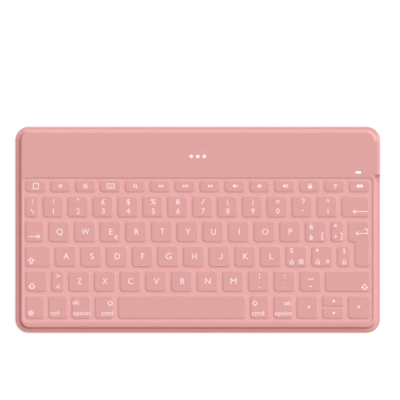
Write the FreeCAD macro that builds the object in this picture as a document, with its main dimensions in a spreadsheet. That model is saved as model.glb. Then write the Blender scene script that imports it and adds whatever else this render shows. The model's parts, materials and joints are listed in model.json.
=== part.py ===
import FreeCAD, Part
import Sketcher
import math
import os

# Slim wireless tablet keyboard, 242 x 137 x 6 mm, covered above and below by a skin.
# The skin lies on a moulded perimeter frame, a key grid and 79 key caps.
# Row frame: +X to the right of the person typing, +Y away from them, +Z up,
# origin on the underside at the middle of the body outline. Millimetres.

V = FreeCAD.Vector
os.makedirs("parts", exist_ok=True)
doc = FreeCAD.newDocument("tablet_keyboard")
sheet = doc.addObject("Spreadsheet::Sheet", "Sizes")
sheet.Label = "Sizes"

# ---------------------------------------------------------------- driving dimensions
CELLS = [
    # body outline
    ("body_width", 242.0), ("body_depth", 137.0), ("body_height", 6.0), ("corner_radius", 9.0),
    ("lip_width", 2.0), ("lip_height", 2.3), ("rim_inset", 4.2),
    # layers
    ("back_thick", 0.45), ("skin_thick", 0.45), ("plate_thick", 0.3), ("membrane_thick", 0.25),
    ("grid_bottom", 1.15), ("web_top", 5.3), ("key_top", 5.8), ("fit_gap", 0.05),
    # key well
    ("well_right", 116.4), ("well_back", 35.1), ("well_front", -61.2), ("well_run", 1.2), ("well_corner", 3.2),
    # key outlines where the skin leaves the web
    ("keys_left", -114.6), ("keys_right", 114.4), ("key_gap", 2.05), ("key_corner", 3.0), ("key_run", 1.2),
    ("letter_pitch", 17.01), ("digit_pitch", 16.51), ("hot_pitch", 16.52), ("thumb_pitch", 15.33),
    ("hot_back", 33.3), ("hot_depth", 8.75), ("digit_back", 22.87), ("digit_depth", 15.0),
    ("upper_back", 6.27), ("upper_depth", 14.95), ("home_back", -10.35), ("home_depth", 14.92),
    ("lower_back", -26.95), ("lower_depth", 14.8), ("thumb_back", -43.45), ("thumb_depth", 16.0),
    ("digit_first", -102.92), ("backspace_left", 95.16), ("upper_first", -99.17),
    ("enter_left", 99.49), ("enter_neck", 103.8), ("home_first", -94.96),
    ("angle_left", -97.62), ("lower_first", -86.29), ("shift_left", 83.85),
    ("control_left", -99.48), ("space_left", -53.45), ("command_left", 34.14), ("option_left", 49.65),
    ("arrow_left", 64.93), ("arrow_mid", 81.9), ("arrow_right", 98.91), ("arrow_split", 7.4),
    # key caps
    ("cap_inset", 1.3), ("cap_bottom", 3.4), ("cap_plate", 1.0), ("cap_wall", 0.9), ("cap_corner", 1.7),
    ("stem_dia", 3.0), ("stem_bottom", 3.0), ("key_travel", 1.2),
    # rubber domes
    ("dome_foot", 6.0), ("dome_head", 3.4), ("dome_rise", 1.9), ("dome_wall", 0.3),
    # opening of the key grid, measured in from the key outline
    ("grid_inset", 0.5),
    # space bar stabiliser
    ("wire_dia", 0.8), ("wire_span", 72.0), ("wire_reach", 7.0), ("wire_axis_z", 1.95), ("wire_axis_y", -56.4),
    ("wire_tip", 2.6), ("saddle_offset", 30.0),
    # electronics bay
    ("bay_back", 62.6), ("bay_front", 36.2), ("bay_half", 114.8), ("frame_top", 4.85), ("cover_top", 5.5),
    ("port_face", 121.0), ("port_front", 35.7), ("port_back", 57.7),
    ("cell_width", 72.0), ("cell_depth", 22.0), ("cell_thick", 3.3),
    ("board_thick", 0.6), ("board_bottom", 0.92),
    ("socket_y", 50.5), ("socket_z", 2.75), ("socket_width", 7.5), ("socket_high", 2.45), ("socket_long", 5.6),
    ("toggle_y", 41.2), ("toggle_travel", 2.0),
    ("light_x", 106.4), ("light_y", 38.05), ("light_long", 3.9), ("light_wide", 1.7),
]
val = {}
for i, (alias, number) in enumerate(CELLS):
    cell = "B%d" % (i + 1)
    sheet.set("A%d" % (i + 1), alias)
    sheet.set(cell, repr(number))
    sheet.setAlias(cell, alias)
    val[alias] = number
doc.recompute()


class Q:
    """A length with the spreadsheet expression that gives it."""

    def __init__(self, text, number):
        self.s, self.v = text, float(number)

    @staticmethod
    def of(x):
        return x if isinstance(x, Q) else Q("%r" % float(x), x)

    def __add__(self, o):
        o = Q.of(o)
        return Q("(%s + %s)" % (self.s, o.s), self.v + o.v)

    def __radd__(self, o):
        return Q.of(o) + self

    def __sub__(self, o):
        o = Q.of(o)
        return Q("(%s - %s)" % (self.s, o.s), self.v - o.v)

    def __rsub__(self, o):
        return Q.of(o) - self

    def __mul__(self, k):
        return Q("(%s * %r)" % (self.s, float(k)), self.v * k)

    __rmul__ = __mul__

    def __truediv__(self, k):
        return Q("(%s / %r)" % (self.s, float(k)), self.v / k)

    def __neg__(self):
        return Q("(0 - %s)" % self.s, -self.v)


def c(alias):
    return Q("Sizes." + alias, val[alias])


def bind(obj, prop, q, unit=" * 1 mm"):
    """Ties a property to the sheet."""
    q = Q.of(q)
    obj.setExpression(prop, q.s + unit if unit else q.s)


# ---------------------------------------------------------------- sketch and feature helpers
def new_body(label):
    body = doc.addObject("PartDesign::Body", label)
    body.Label = label
    return body


def plane(body, role):
    return next(f for f in body.Origin.OriginFeatures if f.Role == role)


def new_sketch(body, name, z, role="XY_Plane"):
    sk = body.newObject("Sketcher::SketchObject", name)
    sk.AttachmentSupport = [(plane(body, role), "")]
    sk.MapMode = "FlatFace"
    bind(sk, "AttachmentOffset.Base.z", z)
    return sk


def rounded(sk, w, d, r, cx=0.0, cy=0.0):
    """Adds a rounded rectangle, w by d about (cx, cy), to the sketch and constrains it to the sheet."""
    w, d, r, cx, cy = (Q.of(x) for x in (w, d, r, cx, cy))
    g0 = len(sk.Geometry)
    k0 = len(sk.Constraints)
    x0, x1, y0, y1 = cx.v - w.v / 2, cx.v + w.v / 2, cy.v - d.v / 2, cy.v + d.v / 2
    R = r.v
    up = V(0, 0, 1)

    def arc(x, y, a):
        return Part.ArcOfCircle(Part.Circle(V(x, y, 0), up, R), math.radians(a), math.radians(a + 90))

    sk.addGeometry(
        [
            Part.LineSegment(V(x0 + R, y0, 0), V(x1 - R, y0, 0)),
            arc(x1 - R, y0 + R, 270),
            Part.LineSegment(V(x1, y0 + R, 0), V(x1, y1 - R, 0)),
            arc(x1 - R, y1 - R, 0),
            Part.LineSegment(V(x1 - R, y1, 0), V(x0 + R, y1, 0)),
            arc(x0 + R, y1 - R, 90),
            Part.LineSegment(V(x0, y1 - R, 0), V(x0, y0 + R, 0)),
            arc(x0 + R, y0 + R, 180),
        ],
        False,
    )
    C = Sketcher.Constraint
    cons = []
    for i in range(8):
        cons.append(C("Tangent", g0 + i, 2, g0 + (i + 1) % 8, 1))
    cons += [C("Horizontal", g0), C("Horizontal", g0 + 4), C("Vertical", g0 + 2), C("Vertical", g0 + 6)]
    cons += [C("Equal", g0 + 1, g0 + 3), C("Equal", g0 + 3, g0 + 5), C("Equal", g0 + 5, g0 + 7)]
    base = k0 + len(cons)
    cons += [
        C("Radius", g0 + 1, R),
        C("DistanceX", g0 + 6, 1, g0 + 2, 1, w.v),
        C("DistanceY", g0, 1, g0 + 4, 1, d.v),
        C("DistanceX", -1, 1, g0 + 2, 1, x1),
        C("DistanceY", -1, 1, g0 + 4, 1, y1),
    ]
    sk.addConstraint(cons)
    for n, q in ((0, r), (1, w), (2, d), (3, cx + w / 2), (4, cy + d / 2)):
        bind(sk, "Constraints[%d]" % (base + n), q)
    return sk


def circle(sk, dia, cx=0.0, cy=0.0):
    dia, cx, cy = (Q.of(x) for x in (dia, cx, cy))
    g0, k0 = len(sk.Geometry), len(sk.Constraints)
    sk.addGeometry(Part.Circle(V(cx.v, cy.v, 0), V(0, 0, 1), dia.v / 2), False)
    C = Sketcher.Constraint
    cons = [C("Diameter", g0, dia.v), C("DistanceX", -1, 1, g0, 3, cx.v), C("DistanceY", -1, 1, g0, 3, cy.v)]
    sk.addConstraint(cons)
    for n, q in ((0, dia), (1, cx), (2, cy)):
        bind(sk, "Constraints[%d]" % (k0 + n), q)
    return sk


def pad(body, name, sk, length):
    f = body.newObject("PartDesign::Pad", name)
    f.Profile = sk
    f.Length = Q.of(length).v
    bind(f, "Length", length)
    sk.Visibility = False
    return f


def pocket(body, name, sk, length, upward=False):
    f = body.newObject("PartDesign::Pocket", name)
    f.Profile = sk
    f.Length = Q.of(length).v
    bind(f, "Length", length)
    f.Reversed = upward
    return f


def loft(body, name, low, high):
    f = body.newObject("PartDesign::AdditiveLoft", name)
    f.Profile = low
    f.Sections = [high]
    f.Ruled = True
    return f


def box(name, x0, x1, y0, y1, z0, z1):
    """A Part::Box between two corners, all six bound to the sheet."""
    x0, x1, y0, y1, z0, z1 = (Q.of(q) for q in (x0, x1, y0, y1, z0, z1))
    b = doc.addObject("Part::Box", name)
    bind(b, "Length", x1 - x0)
    bind(b, "Width", y1 - y0)
    bind(b, "Height", z1 - z0)
    bind(b, "Placement.Base.x", x0)
    bind(b, "Placement.Base.y", y0)
    bind(b, "Placement.Base.z", z0)
    return b


def rod(name, dia, length, x, y, z, direction):
    """A Part::Cylinder from (x, y, z) along a direction."""
    r = doc.addObject("Part::Cylinder", name)
    bind(r, "Radius", Q.of(dia) / 2)
    bind(r, "Height", length)
    r.Placement = FreeCAD.Placement(V(Q.of(x).v, Q.of(y).v, Q.of(z).v), FreeCAD.Rotation(V(0, 0, 1), V(*direction)))
    bind(r, "Placement.Base.x", x)
    bind(r, "Placement.Base.y", y)
    bind(r, "Placement.Base.z", z)
    return r


def cut(label, base, tool):
    f = doc.addObject("Part::Cut", label)
    f.Base, f.Tool, f.Label = base, tool, label
    return f


def fuse(label, parts):
    f = doc.addObject("Part::MultiFuse", label)
    f.Shapes, f.Label = parts, label
    return f


def compound(label, parts):
    f = doc.addObject("Part::Compound", label)
    f.Links, f.Label = parts, label
    return f


NODES = []  # objects that become files, by Label

W, D, H = c("body_width"), c("body_depth"), c("body_height")
back = c("back_thick")
plate_top = back + c("plate_thick")
web_under = c("web_top") - c("skin_thick")
cap_top = c("key_top") - c("skin_thick") - 0.03

# ---------------------------------------------------------------- where the keys are
# Each key: (key name, node it belongs to, [(left, right, front, back), ...]).
ROWS = {
    "hot": ("hot_back", "hot_depth"), "digit": ("digit_back", "digit_depth"), "upper": ("upper_back", "upper_depth"),
    "home": ("home_back", "home_depth"), "lower": ("lower_back", "lower_depth"), "thumb": ("thumb_back", "thumb_depth"),
}
KEYS = []


def key(name, node, row, left, right):
    b, d = ROWS[row]
    KEYS.append((name, node, [(Q.of(left), Q.of(right), c(b) - c(d), c(b))]))


gap = c("key_gap")
for i in range(14):
    left = c("keys_left") + c("hot_pitch") * i
    key("hot_%02d" % (i + 1), "function_row_keys", "hot", left, left + c("hot_pitch") - gap)
key("bar", "number_row_keys", "digit", c("keys_left"), c("digit_first") - gap)
for i, n in enumerate(["1", "2", "3", "4", "5", "6", "7", "8", "9", "0", "quote", "igrave"]):
    left = c("digit_first") + c("digit_pitch") * i
    key("digit_" + n, "number_row_keys", "digit", left, left + c("digit_pitch") - gap)
key("backspace", "backspace_key", "digit", c("backspace_left"), c("keys_right"))
key("tab", "tab_key", "upper", c("keys_left"), c("upper_first") - gap)
for i, n in enumerate("qwertyuiop"):
    left = c("upper_first") + c("letter_pitch") * i
    key(n, "key_" + n, "upper", left, left + c("letter_pitch") - gap)
left = c("upper_first") + c("letter_pitch") * 10
key("egrave", "punctuation_keys", "upper", left, left + c("letter_pitch") - gap)
key("plus", "punctuation_keys", "upper", left + c("letter_pitch"), c("enter_left") - gap)
key("caps", "caps_lock_key", "home", c("keys_left"), c("home_first") - gap)
for i, n in enumerate("asdfghjkl"):
    left = c("home_first") + c("letter_pitch") * i
    key(n, "key_" + n, "home", left, left + c("letter_pitch") - gap)
for i, n in enumerate(["ograve", "agrave"]):
    left = c("home_first") + c("letter_pitch") * (9 + i)
    key(n, "punctuation_keys", "home", left, left + c("letter_pitch") - gap)
key("ugrave", "punctuation_keys", "home", c("home_first") + c("letter_pitch") * 11, c("enter_neck") - gap)
key("shift_l", "left_shift_key", "lower", c("keys_left"), c("angle_left") - gap)
key("angle", "punctuation_keys", "lower", c("angle_left"), c("lower_first") - gap)
for i, n in enumerate("zxcvbnm"):
    left = c("lower_first") + c("letter_pitch") * i
    key(n, "key_" + n, "lower", left, left + c("letter_pitch") - gap)
for i, n in enumerate(["comma", "dot", "dash"]):
    left = c("lower_first") + c("letter_pitch") * (7 + i)
    key(n, "punctuation_keys", "lower", left, left + c("letter_pitch") - gap)
key("shift_r", "right_shift_key", "lower", c("shift_left"), c("keys_right"))
key("globe", "modifier_keys", "thumb", c("keys_left"), c("control_left") - gap)
for i, n in enumerate(["control", "option_l", "command_l"]):
    left = c("control_left") + c("thumb_pitch") * i
    key(n, "modifier_keys", "thumb", left, left + c("thumb_pitch") - gap)
key("space", "space_bar", "thumb", c("space_left"), c("command_left") - gap)
key("command_r", "modifier_keys", "thumb", c("command_left"), c("option_left") - gap)
key("option_r", "modifier_keys", "thumb", c("option_left"), c("arrow_left") - gap)
key("left", "arrow_left_key", "thumb", c("arrow_left"), c("arrow_mid") - gap)
front = c("thumb_back") - c("thumb_depth")
KEYS.append(("up", "arrow_up_key", [(c("arrow_mid"), c("arrow_right") - gap, c("thumb_back") - c("arrow_split"), c("thumb_back"))]))
KEYS.append(("down", "arrow_down_key", [(c("arrow_mid"), c("arrow_right") - gap, front, front + c("arrow_split"))]))
key("right", "arrow_right_key", "thumb", c("arrow_right"), c("keys_right"))
# the enter key is two overlapping rectangles: a wide upper part and a narrow full-height part
KEYS.append(
    (
        "enter",
        "enter_key",
        [
            (c("enter_left"), c("keys_right"), c("upper_back") - c("upper_depth"), c("upper_back")),
            (c("enter_neck"), c("keys_right"), c("home_back") - c("home_depth"), c("upper_back")),
        ],
    )
)


def middle(rects):
    """Where a key's stem stands."""
    l, r, f, b = rects[-1]
    return (l + r) / 2, (f + b) / 2


# ---------------------------------------------------------------- key caps
caps = {}
inset, cb = c("cap_inset"), c("cap_bottom")
under = cap_top - c("cap_plate")
for name, node, rects in KEYS:
    body = new_body("cap_" + name)
    mx, my = middle(rects)
    for k, (l, r, f, b) in enumerate(rects):
        sk = new_sketch(body, "outline_%s_%d" % (name, k), cb)
        rounded(sk, r - l - inset * 2, b - f - inset * 2, c("cap_corner"), (l + r) / 2 - mx, (f + b) / 2 - my)
        pad(body, "shell_%s_%d" % (name, k), sk, cap_top - cb)
    small = min(b.v - f.v for _, _, f, b in rects) < 8
    for k, (l, r, f, b) in enumerate(rects):
        if small:
            continue  # the half-height arrow caps are solid slabs
        wall = (inset + c("cap_wall")) * 2
        sk = new_sketch(body, "hollow_line_%s_%d" % (name, k), cb)
        rounded(sk, r - l - wall, b - f - wall, c("cap_corner") - 0.6, (l + r) / 2 - mx, (f + b) / 2 - my)
        pocket(body, "hollow_%s_%d" % (name, k), sk, under - cb, upward=True)
    sk = new_sketch(body, "stem_line_" + name, c("stem_bottom"))
    circle(sk, c("stem_dia"))
    pad(body, "stem_" + name, sk, under - c("stem_bottom") + 0.2)
    if name == "space":
        # two lugs under the bar hold the tips of the stabiliser wire
        tip_y = c("wire_axis_y") + c("wire_reach") - my
        tip_z = c("wire_axis_z") + c("key_travel")
        for side in (-1, 1):
            sk = new_sketch(body, "lug_line_%d" % (side + 1), tip_z - 0.78)
            rounded(sk, 1.2, 2.6, 0.3, (c("wire_span") / 2 + 1.5) * side, tip_y)
            pad(body, "lug_%d" % (side + 1), sk, under - tip_z + 0.78 + 0.2)
        sk = new_sketch(body, "lug_slot_line", c("wire_span") / 2 + 3.0, "YZ_Plane")
        rounded(sk, 1.3, 0.96, 0.4, tip_y, tip_z)
        pocket(body, "lug_slot_a", sk, 3.0)
        sk = new_sketch(body, "lug_slot_line_b", -(c("wire_span") / 2), "YZ_Plane")
        rounded(sk, 1.3, 0.96, 0.4, tip_y, tip_z)
        pocket(body, "lug_slot_b", sk, 3.0)
    body.Placement = FreeCAD.Placement(V(mx.v, my.v, 0), FreeCAD.Rotation())
    bind(body, "Placement.Base.x", mx)
    bind(body, "Placement.Base.y", my)
    caps.setdefault(node, []).append(body)
for node, bodies in caps.items():
    if len(bodies) == 1:
        bodies[0].Label = node
        NODES.append(bodies[0])
    else:
        NODES.append(compound(node, bodies))

# ---------------------------------------------------------------- back cover and base plate
body = new_body("bottom_skin")
sk = new_sketch(body, "back_outline", 0.0)
rounded(sk, W, D, c("corner_radius"))
pad(body, "back_sheet", sk, back)
NODES.append(body)

body = new_body("base_sheet")
sk = new_sketch(body, "base_outline", back)
rounded(sk, W - 6.0, D - 6.0, c("corner_radius") - 3.0)
pad(body, "base_plate_sheet", sk, c("plate_thick"))
base_body = body
my_space = c("thumb_back") - c("thumb_depth") / 2
mx_space = (c("space_left") + c("command_left") - gap) / 2
saddles = []
for side in (-1, 1):
    x = mx_space + c("saddle_offset") * side
    block = box("saddle_block_%d" % (side + 1), x - 0.2, x + 0.2, c("wire_axis_y") - 0.75, c("wire_axis_y") + 0.75, plate_top - 0.1, c("wire_axis_z") + 0.75)
    bore = rod("saddle_bore_%d" % (side + 1), c("wire_dia") + 0.1, 1.0, x - 0.5, c("wire_axis_y"), c("wire_axis_z"), (1, 0, 0))
    saddles.append(cut("saddle_%d" % (side + 1), block, bore))
plate_solid = fuse("base_plate_with_saddles", [base_body] + saddles)
SCREWS = [(34.0, 59.0), (34.0, 40.5), (111.0, 59.0)]
screw_holes = compound("base_plate_screw_holes", [rod("base_hole_%d" % i, 1.8, 1.0, x, y, 0.2, (0, 0, 1)) for i, (x, y) in enumerate(SCREWS)])
NODES.append(cut("base_plate", plate_solid, screw_holes))

# ---------------------------------------------------------------- three-layer switch membrane and its tail
membrane_top = plate_top + c("membrane_thick")
body = new_body("membrane_sheet")
sk = new_sketch(body, "membrane_outline", plate_top)
rounded(sk, (c("well_right") - 1.5) * 2, 94.6, 2.0, 0.0, -13.4)
pad(body, "membrane_stack", sk, c("membrane_thick"))
slots = [
    box("membrane_slot_%d" % (side + 1), mx_space + c("saddle_offset") * side - 0.5, mx_space + c("saddle_offset") * side + 0.5,
        c("wire_axis_y") - 1.3, c("wire_axis_y") + 1.3, plate_top - 0.5, membrane_top + 0.5)
    for side in (-1, 1)
]
NODES.append(cut("membrane_circuit", body, compound("membrane_slots", slots)))

tail = fuse(
    "membrane_tail",
    [
        box("tail_low", 60.0, 74.0, 33.95, 36.9, plate_top + 0.02, plate_top + 0.22),
        box("tail_riser", 60.0, 74.0, 36.7, 36.9, plate_top + 0.02, 2.12),
        box("tail_high", 60.0, 74.0, 36.7, 41.4, 1.92, 2.12),
    ],
)
NODES.append(tail)

# ---------------------------------------------------------------- rubber domes: one revolved shell copied under each key
dome = doc.addObject("Part::Feature", "rubber_domes")
fr, hr, rise, wall = val["dome_foot"] / 2, val["dome_head"] / 2, val["dome_rise"], val["dome_wall"]
profile = Part.makePolygon(
    [
        V(fr - 1.2, 0, 0), V(fr, 0, 0), V(fr, 0, 0.2), V(fr - 0.5, 0, 0.35), V(hr, 0, rise - 0.25), V(hr, 0, rise),
        V(0, 0, rise), V(0, 0, rise - 0.9), V(0.8, 0, rise - 0.9), V(0.9, 0, rise - wall - 0.1), V(hr - 0.35, 0, rise - wall - 0.2), V(fr - 1.2, 0, 0),
    ]
)
one = Part.Face(profile).revolve(V(0, 0, 0), V(0, 0, 1), 360)
copies = []
for name, node, rects in KEYS:
    mx, my = middle(rects)
    s = one.copy()
    s.translate(V(mx.v, my.v, membrane_top.v + val["fit_gap"]))
    copies.append(s)
dome.Shape = Part.makeCompound(copies)
dome.Placement = FreeCAD.Placement()
dome.Label = "rubber_domes"
NODES.append(dome)

# ---------------------------------------------------------------- moulded grid that carries the skin between the keys
body = new_body("grid_slab")
sk = new_sketch(body, "grid_outline", c("grid_bottom"))
rounded(sk, (c("well_right") - 0.9) * 2, 95.3, 2.0, 0.0, -13.7)
pad(body, "grid_slab_pad", sk, web_under - 0.05 - c("grid_bottom"))
holes = []
gi = c("grid_inset")
for name, node, rects in KEYS:
    for k, (l, r, f, b) in enumerate(rects):
        holes.append(box("hole_%s_%d" % (name, k), l + gi, r - gi, f + gi, b - gi, 0.5, 5.5))
holes.append(box("hole_tail", 59.0, 75.0, 33.0, 35.0, 0.5, 1.5))
NODES.append(cut("key_grid_frame", body, compound("grid_holes", holes)))

# ---------------------------------------------------------------- perimeter frame: flange under the lip, walls, bay and port block
body = new_body("frame_moulding")
sk = new_sketch(body, "flange_outline", back)
rounded(sk, W - 1.2, D - 1.2, c("corner_radius") - 0.6)
pad(body, "flange", sk, 1.3)
low = new_sketch(body, "wall_low", back + 1.3)
rounded(low, W - 5.4, D - 5.4, c("corner_radius") - 2.7)
high = new_sketch(body, "wall_high", c("frame_top"))
rounded(high, W - 8.6, D - 8.6, c("corner_radius") - 4.3)
loft(body, "wall", low, high)
sk = new_sketch(body, "port_block_line", back + 0.3)
rounded(sk, 7.0, c("port_back") - c("port_front") - 1.2, 0.8, c("port_face") - 0.5 - 3.5, (c("port_back") + c("port_front")) / 2)
pad(body, "port_block", sk, c("frame_top") - back - 0.3)
sk = new_sketch(body, "front_rail_line", c("frame_top") - 0.1)
rounded(sk, 228.0, 1.9, 0.6, 0.0, -62.65)
pad(body, "front_rail", sk, c("cover_top") - c("frame_top") + 0.1)
sk = new_sketch(body, "plate_recess_line", back)
rounded(sk, W - 5.8, D - 5.8, c("corner_radius") - 2.9)
pocket(body, "plate_recess", sk, c("plate_thick") + 0.02, upward=True)
sk = new_sketch(body, "well_line", c("cover_top"))
rounded(sk, (c("well_right") - 0.7) * 2, 95.8, 2.2, 0.0, -13.7)
pocket(body, "key_well", sk, 6.0)
sk = new_sketch(body, "bay_line", c("cover_top"))
rounded(sk, c("bay_half") * 2, c("bay_back") - c("bay_front"), 2.0, 0.0, (c("bay_back") + c("bay_front")) / 2)
pocket(body, "bay", sk, 6.0)
sk = new_sketch(body, "port_bay_line", c("cover_top"))
rounded(sk, 6.0, 19.4, 0.5, 115.6, (c("port_back") + c("port_front")) / 2)
pocket(body, "port_bay", sk, 6.0)
frame_tools = [
    box("socket_window", 118.0, 122.0, c("socket_y") - c("socket_width") / 2 - 0.12, c("socket_y") + c("socket_width") / 2 + 0.12,
        c("socket_z") - c("socket_high") / 2 - 0.12, c("socket_z") + c("socket_high") / 2 + 0.12),
    box("toggle_window", 118.0, 122.0, c("toggle_y") - 2.4, c("toggle_y") + 2.4, c("socket_z") - 0.8, c("socket_z") + 0.8),
    box("tail_notch", 59.0, 75.0, 34.0, 36.6, 0.5, 2.4),
]
NODES.append(cut("perimeter_frame", body, compound("frame_windows", frame_tools)))

# ---------------------------------------------------------------- cover plate over the electronics bay
body = new_body("bay_cover")
sk = new_sketch(body, "cover_outline", c("frame_top") + 0.05)
rounded(sk, W - 9.2, 28.3, 3.0, 0.0, 49.75)
pad(body, "cover_sheet", sk, c("cover_top") - c("frame_top") - 0.05)
sk = new_sketch(body, "cover_light_line", c("cover_top"))
rounded(sk, c("light_long") + 0.2, c("light_wide") + 0.2, (c("light_wide") + 0.1) / 2, c("light_x"), c("light_y"))
pocket(body, "cover_light_hole", sk, 2.0)
NODES.append(body)

# ---------------------------------------------------------------- battery cell
body = new_body("cell_and_protection_board")
sk = new_sketch(body, "cell_outline", 1.0)
rounded(sk, c("cell_width"), c("cell_depth"), 1.5, -70.0, 49.4)
pad(body, "cell_pouch", sk, c("cell_thick"))
sk = new_sketch(body, "cell_tab_line", 1.6)
rounded(sk, 4.0, 14.0, 0.4, -32.4, 49.4)
pad(body, "cell_protection_board", sk, 1.2)
leads = [rod("battery_lead_%d" % i, 0.9, 62.5, -31.0, y, 2.1, (1, 0, 0)) for i, y in enumerate((48.4, 50.4))]
NODES.append(fuse("battery_cell", [body] + leads))

# ---------------------------------------------------------------- circuit board, its components and screws
board_top = c("board_bottom") + c("board_thick")
body = new_body("board_sheet")
sk = new_sketch(body, "board_outline", c("board_bottom"))
rounded(sk, 84.0, 23.0, 1.0, 72.2, 49.9)
pad(body, "board_main", sk, c("board_thick"))
sk = new_sketch(body, "board_port_line", c("board_bottom"))
rounded(sk, 6.0, 18.6, 0.5, 115.3, 47.0)
pad(body, "board_port_tab", sk, c("board_thick"))
for i, (x, y) in enumerate(SCREWS):
    sk = new_sketch(body, "board_hole_line_%d" % i, board_top)
    circle(sk, 1.8, x, y)
    pocket(body, "board_hole_%d" % i, sk, 2.0)
body.Label = "circuit_board"
NODES.append(body)

led = box("status_led", c("light_x") - 0.8, c("light_x") + 0.8, c("light_y") + 0.6 - 0.4, c("light_y") + 1.4, board_top, board_top + 0.6)
can = box("radio_can", 84.0, 97.0, 46.5, 57.5, board_top, board_top + 1.6)
chip = box("controller_chip", 62.0, 69.0, 47.0, 54.0, board_top, board_top + 0.9)
plug = box("battery_plug", 31.5, 36.5, 46.6, 52.2, board_top, board_top + 1.5)
socket_block = box("tail_socket_block", 59.0, 75.0, 39.9, 44.0, board_top, board_top + 1.1)
socket_slot = box("tail_socket_slot", 59.8, 74.2, 39.0, 41.8, 1.87, 2.17)
tail_socket = cut("tail_socket", socket_block, socket_slot)
NODES.append(compound("board_components", [led, can, chip, plug, tail_socket]))

screws = []
for i, (x, y) in enumerate(SCREWS):
    head = rod("screw_head_%d" % i, 2.8, 0.75, x, y, board_top + 0.01, (0, 0, 1))
    shank = rod("screw_shank_%d" % i, 1.6, board_top - 0.5 + 0.05, x, y, 0.5, (0, 0, 1))
    whole = fuse("screw_blank_%d" % i, [head, shank])
    drive = box("screw_drive_%d" % i, x - 1.0, x + 1.0, y - 0.2, y + 0.2, board_top + 0.4, board_top + 1.5)
    screws.append(cut("screw_%d" % i, whole, drive))
NODES.append(compound("board_screws", screws))

# ---------------------------------------------------------------- charging socket
body = new_body("socket_shell")
sk = new_sketch(body, "socket_outer_line", 115.3, "YZ_Plane")
rounded(sk, c("socket_width"), c("socket_high"), 0.7, c("socket_y"), c("socket_z"))
pad(body, "socket_outer", sk, c("socket_long"))
sk = new_sketch(body, "socket_inner_line", Q.of(115.3) + c("socket_long"), "YZ_Plane")
rounded(sk, c("socket_width") - 0.6, c("socket_high") - 0.6, 0.45, c("socket_y"), c("socket_z"))
pocket(body, "socket_cavity", sk, c("socket_long") - 0.4)
body.Label = "usb_socket_shell"
NODES.append(body)

tongue = fuse(
    "usb_socket_insulator",
    [
        box("tongue_block", 115.75, 116.7, c("socket_y") - 3.2, c("socket_y") + 3.2, c("socket_z") - 0.75, c("socket_z") + 0.75),
        box("tongue_blade", 116.6, 120.2, c("socket_y") - 1.85, c("socket_y") + 1.85, c("socket_z") + 0.1, c("socket_z") + 0.62),
    ],
)
NODES.append(tongue)

# ---------------------------------------------------------------- slide switch
tz0, tz1 = board_top + 0.03, c("socket_z") + 1.2
case = box("toggle_case_block", 115.0, 118.45, c("toggle_y") - 3.95, c("toggle_y") + 3.95, tz0, tz1)
track = box("toggle_track", 116.4, 118.0, c("toggle_y") - 3.4, c("toggle_y") + 3.4, c("socket_z") - 0.75, c("socket_z") + 0.75)
mouth = box("toggle_mouth", 117.9, 119.0, c("toggle_y") - 2.3, c("toggle_y") + 2.3, c("socket_z") - 0.7, c("socket_z") + 0.7)
NODES.append(cut("power_switch_body", case, compound("toggle_voids", [track, mouth])))
rest_y = c("toggle_y") - c("toggle_travel") / 2
slider = fuse(
    "power_switch_slider",
    [
        box("slider_foot", 116.55, 117.85, rest_y - 2.1, rest_y + 2.1, c("socket_z") - 0.6, c("socket_z") + 0.6),
        box("slider_knob", 117.6, 120.95, rest_y - 1.1, rest_y + 1.1, c("socket_z") - 0.55, c("socket_z") + 0.55),
    ],
)
NODES.append(slider)

# ---------------------------------------------------------------- status light lens, flush with the skin
body = new_body("status_light_lens")
sk = new_sketch(body, "lens_line", c("frame_top") - 0.6)
rounded(sk, c("light_long"), c("light_wide"), (c("light_wide") - 0.1) / 2, c("light_x"), c("light_y"))
pad(body, "lens", sk, H - c("frame_top") + 0.6)
NODES.append(body)

# ---------------------------------------------------------------- space bar stabiliser wire
wy, wz = c("wire_axis_y"), c("wire_axis_z")
hx = c("wire_span") / 2
rise_z = c("key_travel")
reach = math.sqrt(val["wire_reach"] ** 2 + val["key_travel"] ** 2)
arm_dir = (0.0, val["wire_reach"], val["key_travel"])
pieces = [rod("wire_bar", c("wire_dia"), c("wire_span"), mx_space - hx, wy, wz, (1, 0, 0))]
for side in (-1, 1):
    x = mx_space + hx * side
    pieces.append(rod("wire_arm_%d" % (side + 1), c("wire_dia"), reach, x, wy, wz, arm_dir))
    pieces.append(rod("wire_tip_%d" % (side + 1), c("wire_dia"), c("wire_tip"), x, wy + c("wire_reach"), wz + rise_z, (side, 0, 0)))
    for k, (y, z) in enumerate(((wy, wz), (wy + c("wire_reach"), wz + rise_z))):
        ball = doc.addObject("Part::Sphere", "wire_bend_%d_%d" % (side + 1, k))
        bind(ball, "Radius", c("wire_dia") / 2)
        bind(ball, "Placement.Base.x", x)
        bind(ball, "Placement.Base.y", y)
        bind(ball, "Placement.Base.z", z)
        pieces.append(ball)
NODES.append(fuse("space_stabiliser_wire", pieces))

doc.recompute()

# ---------------------------------------------------------------- top skin: a formed sheet, so its shape is set directly
skin = doc.addObject("Part::Feature", "top_skin")


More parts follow.
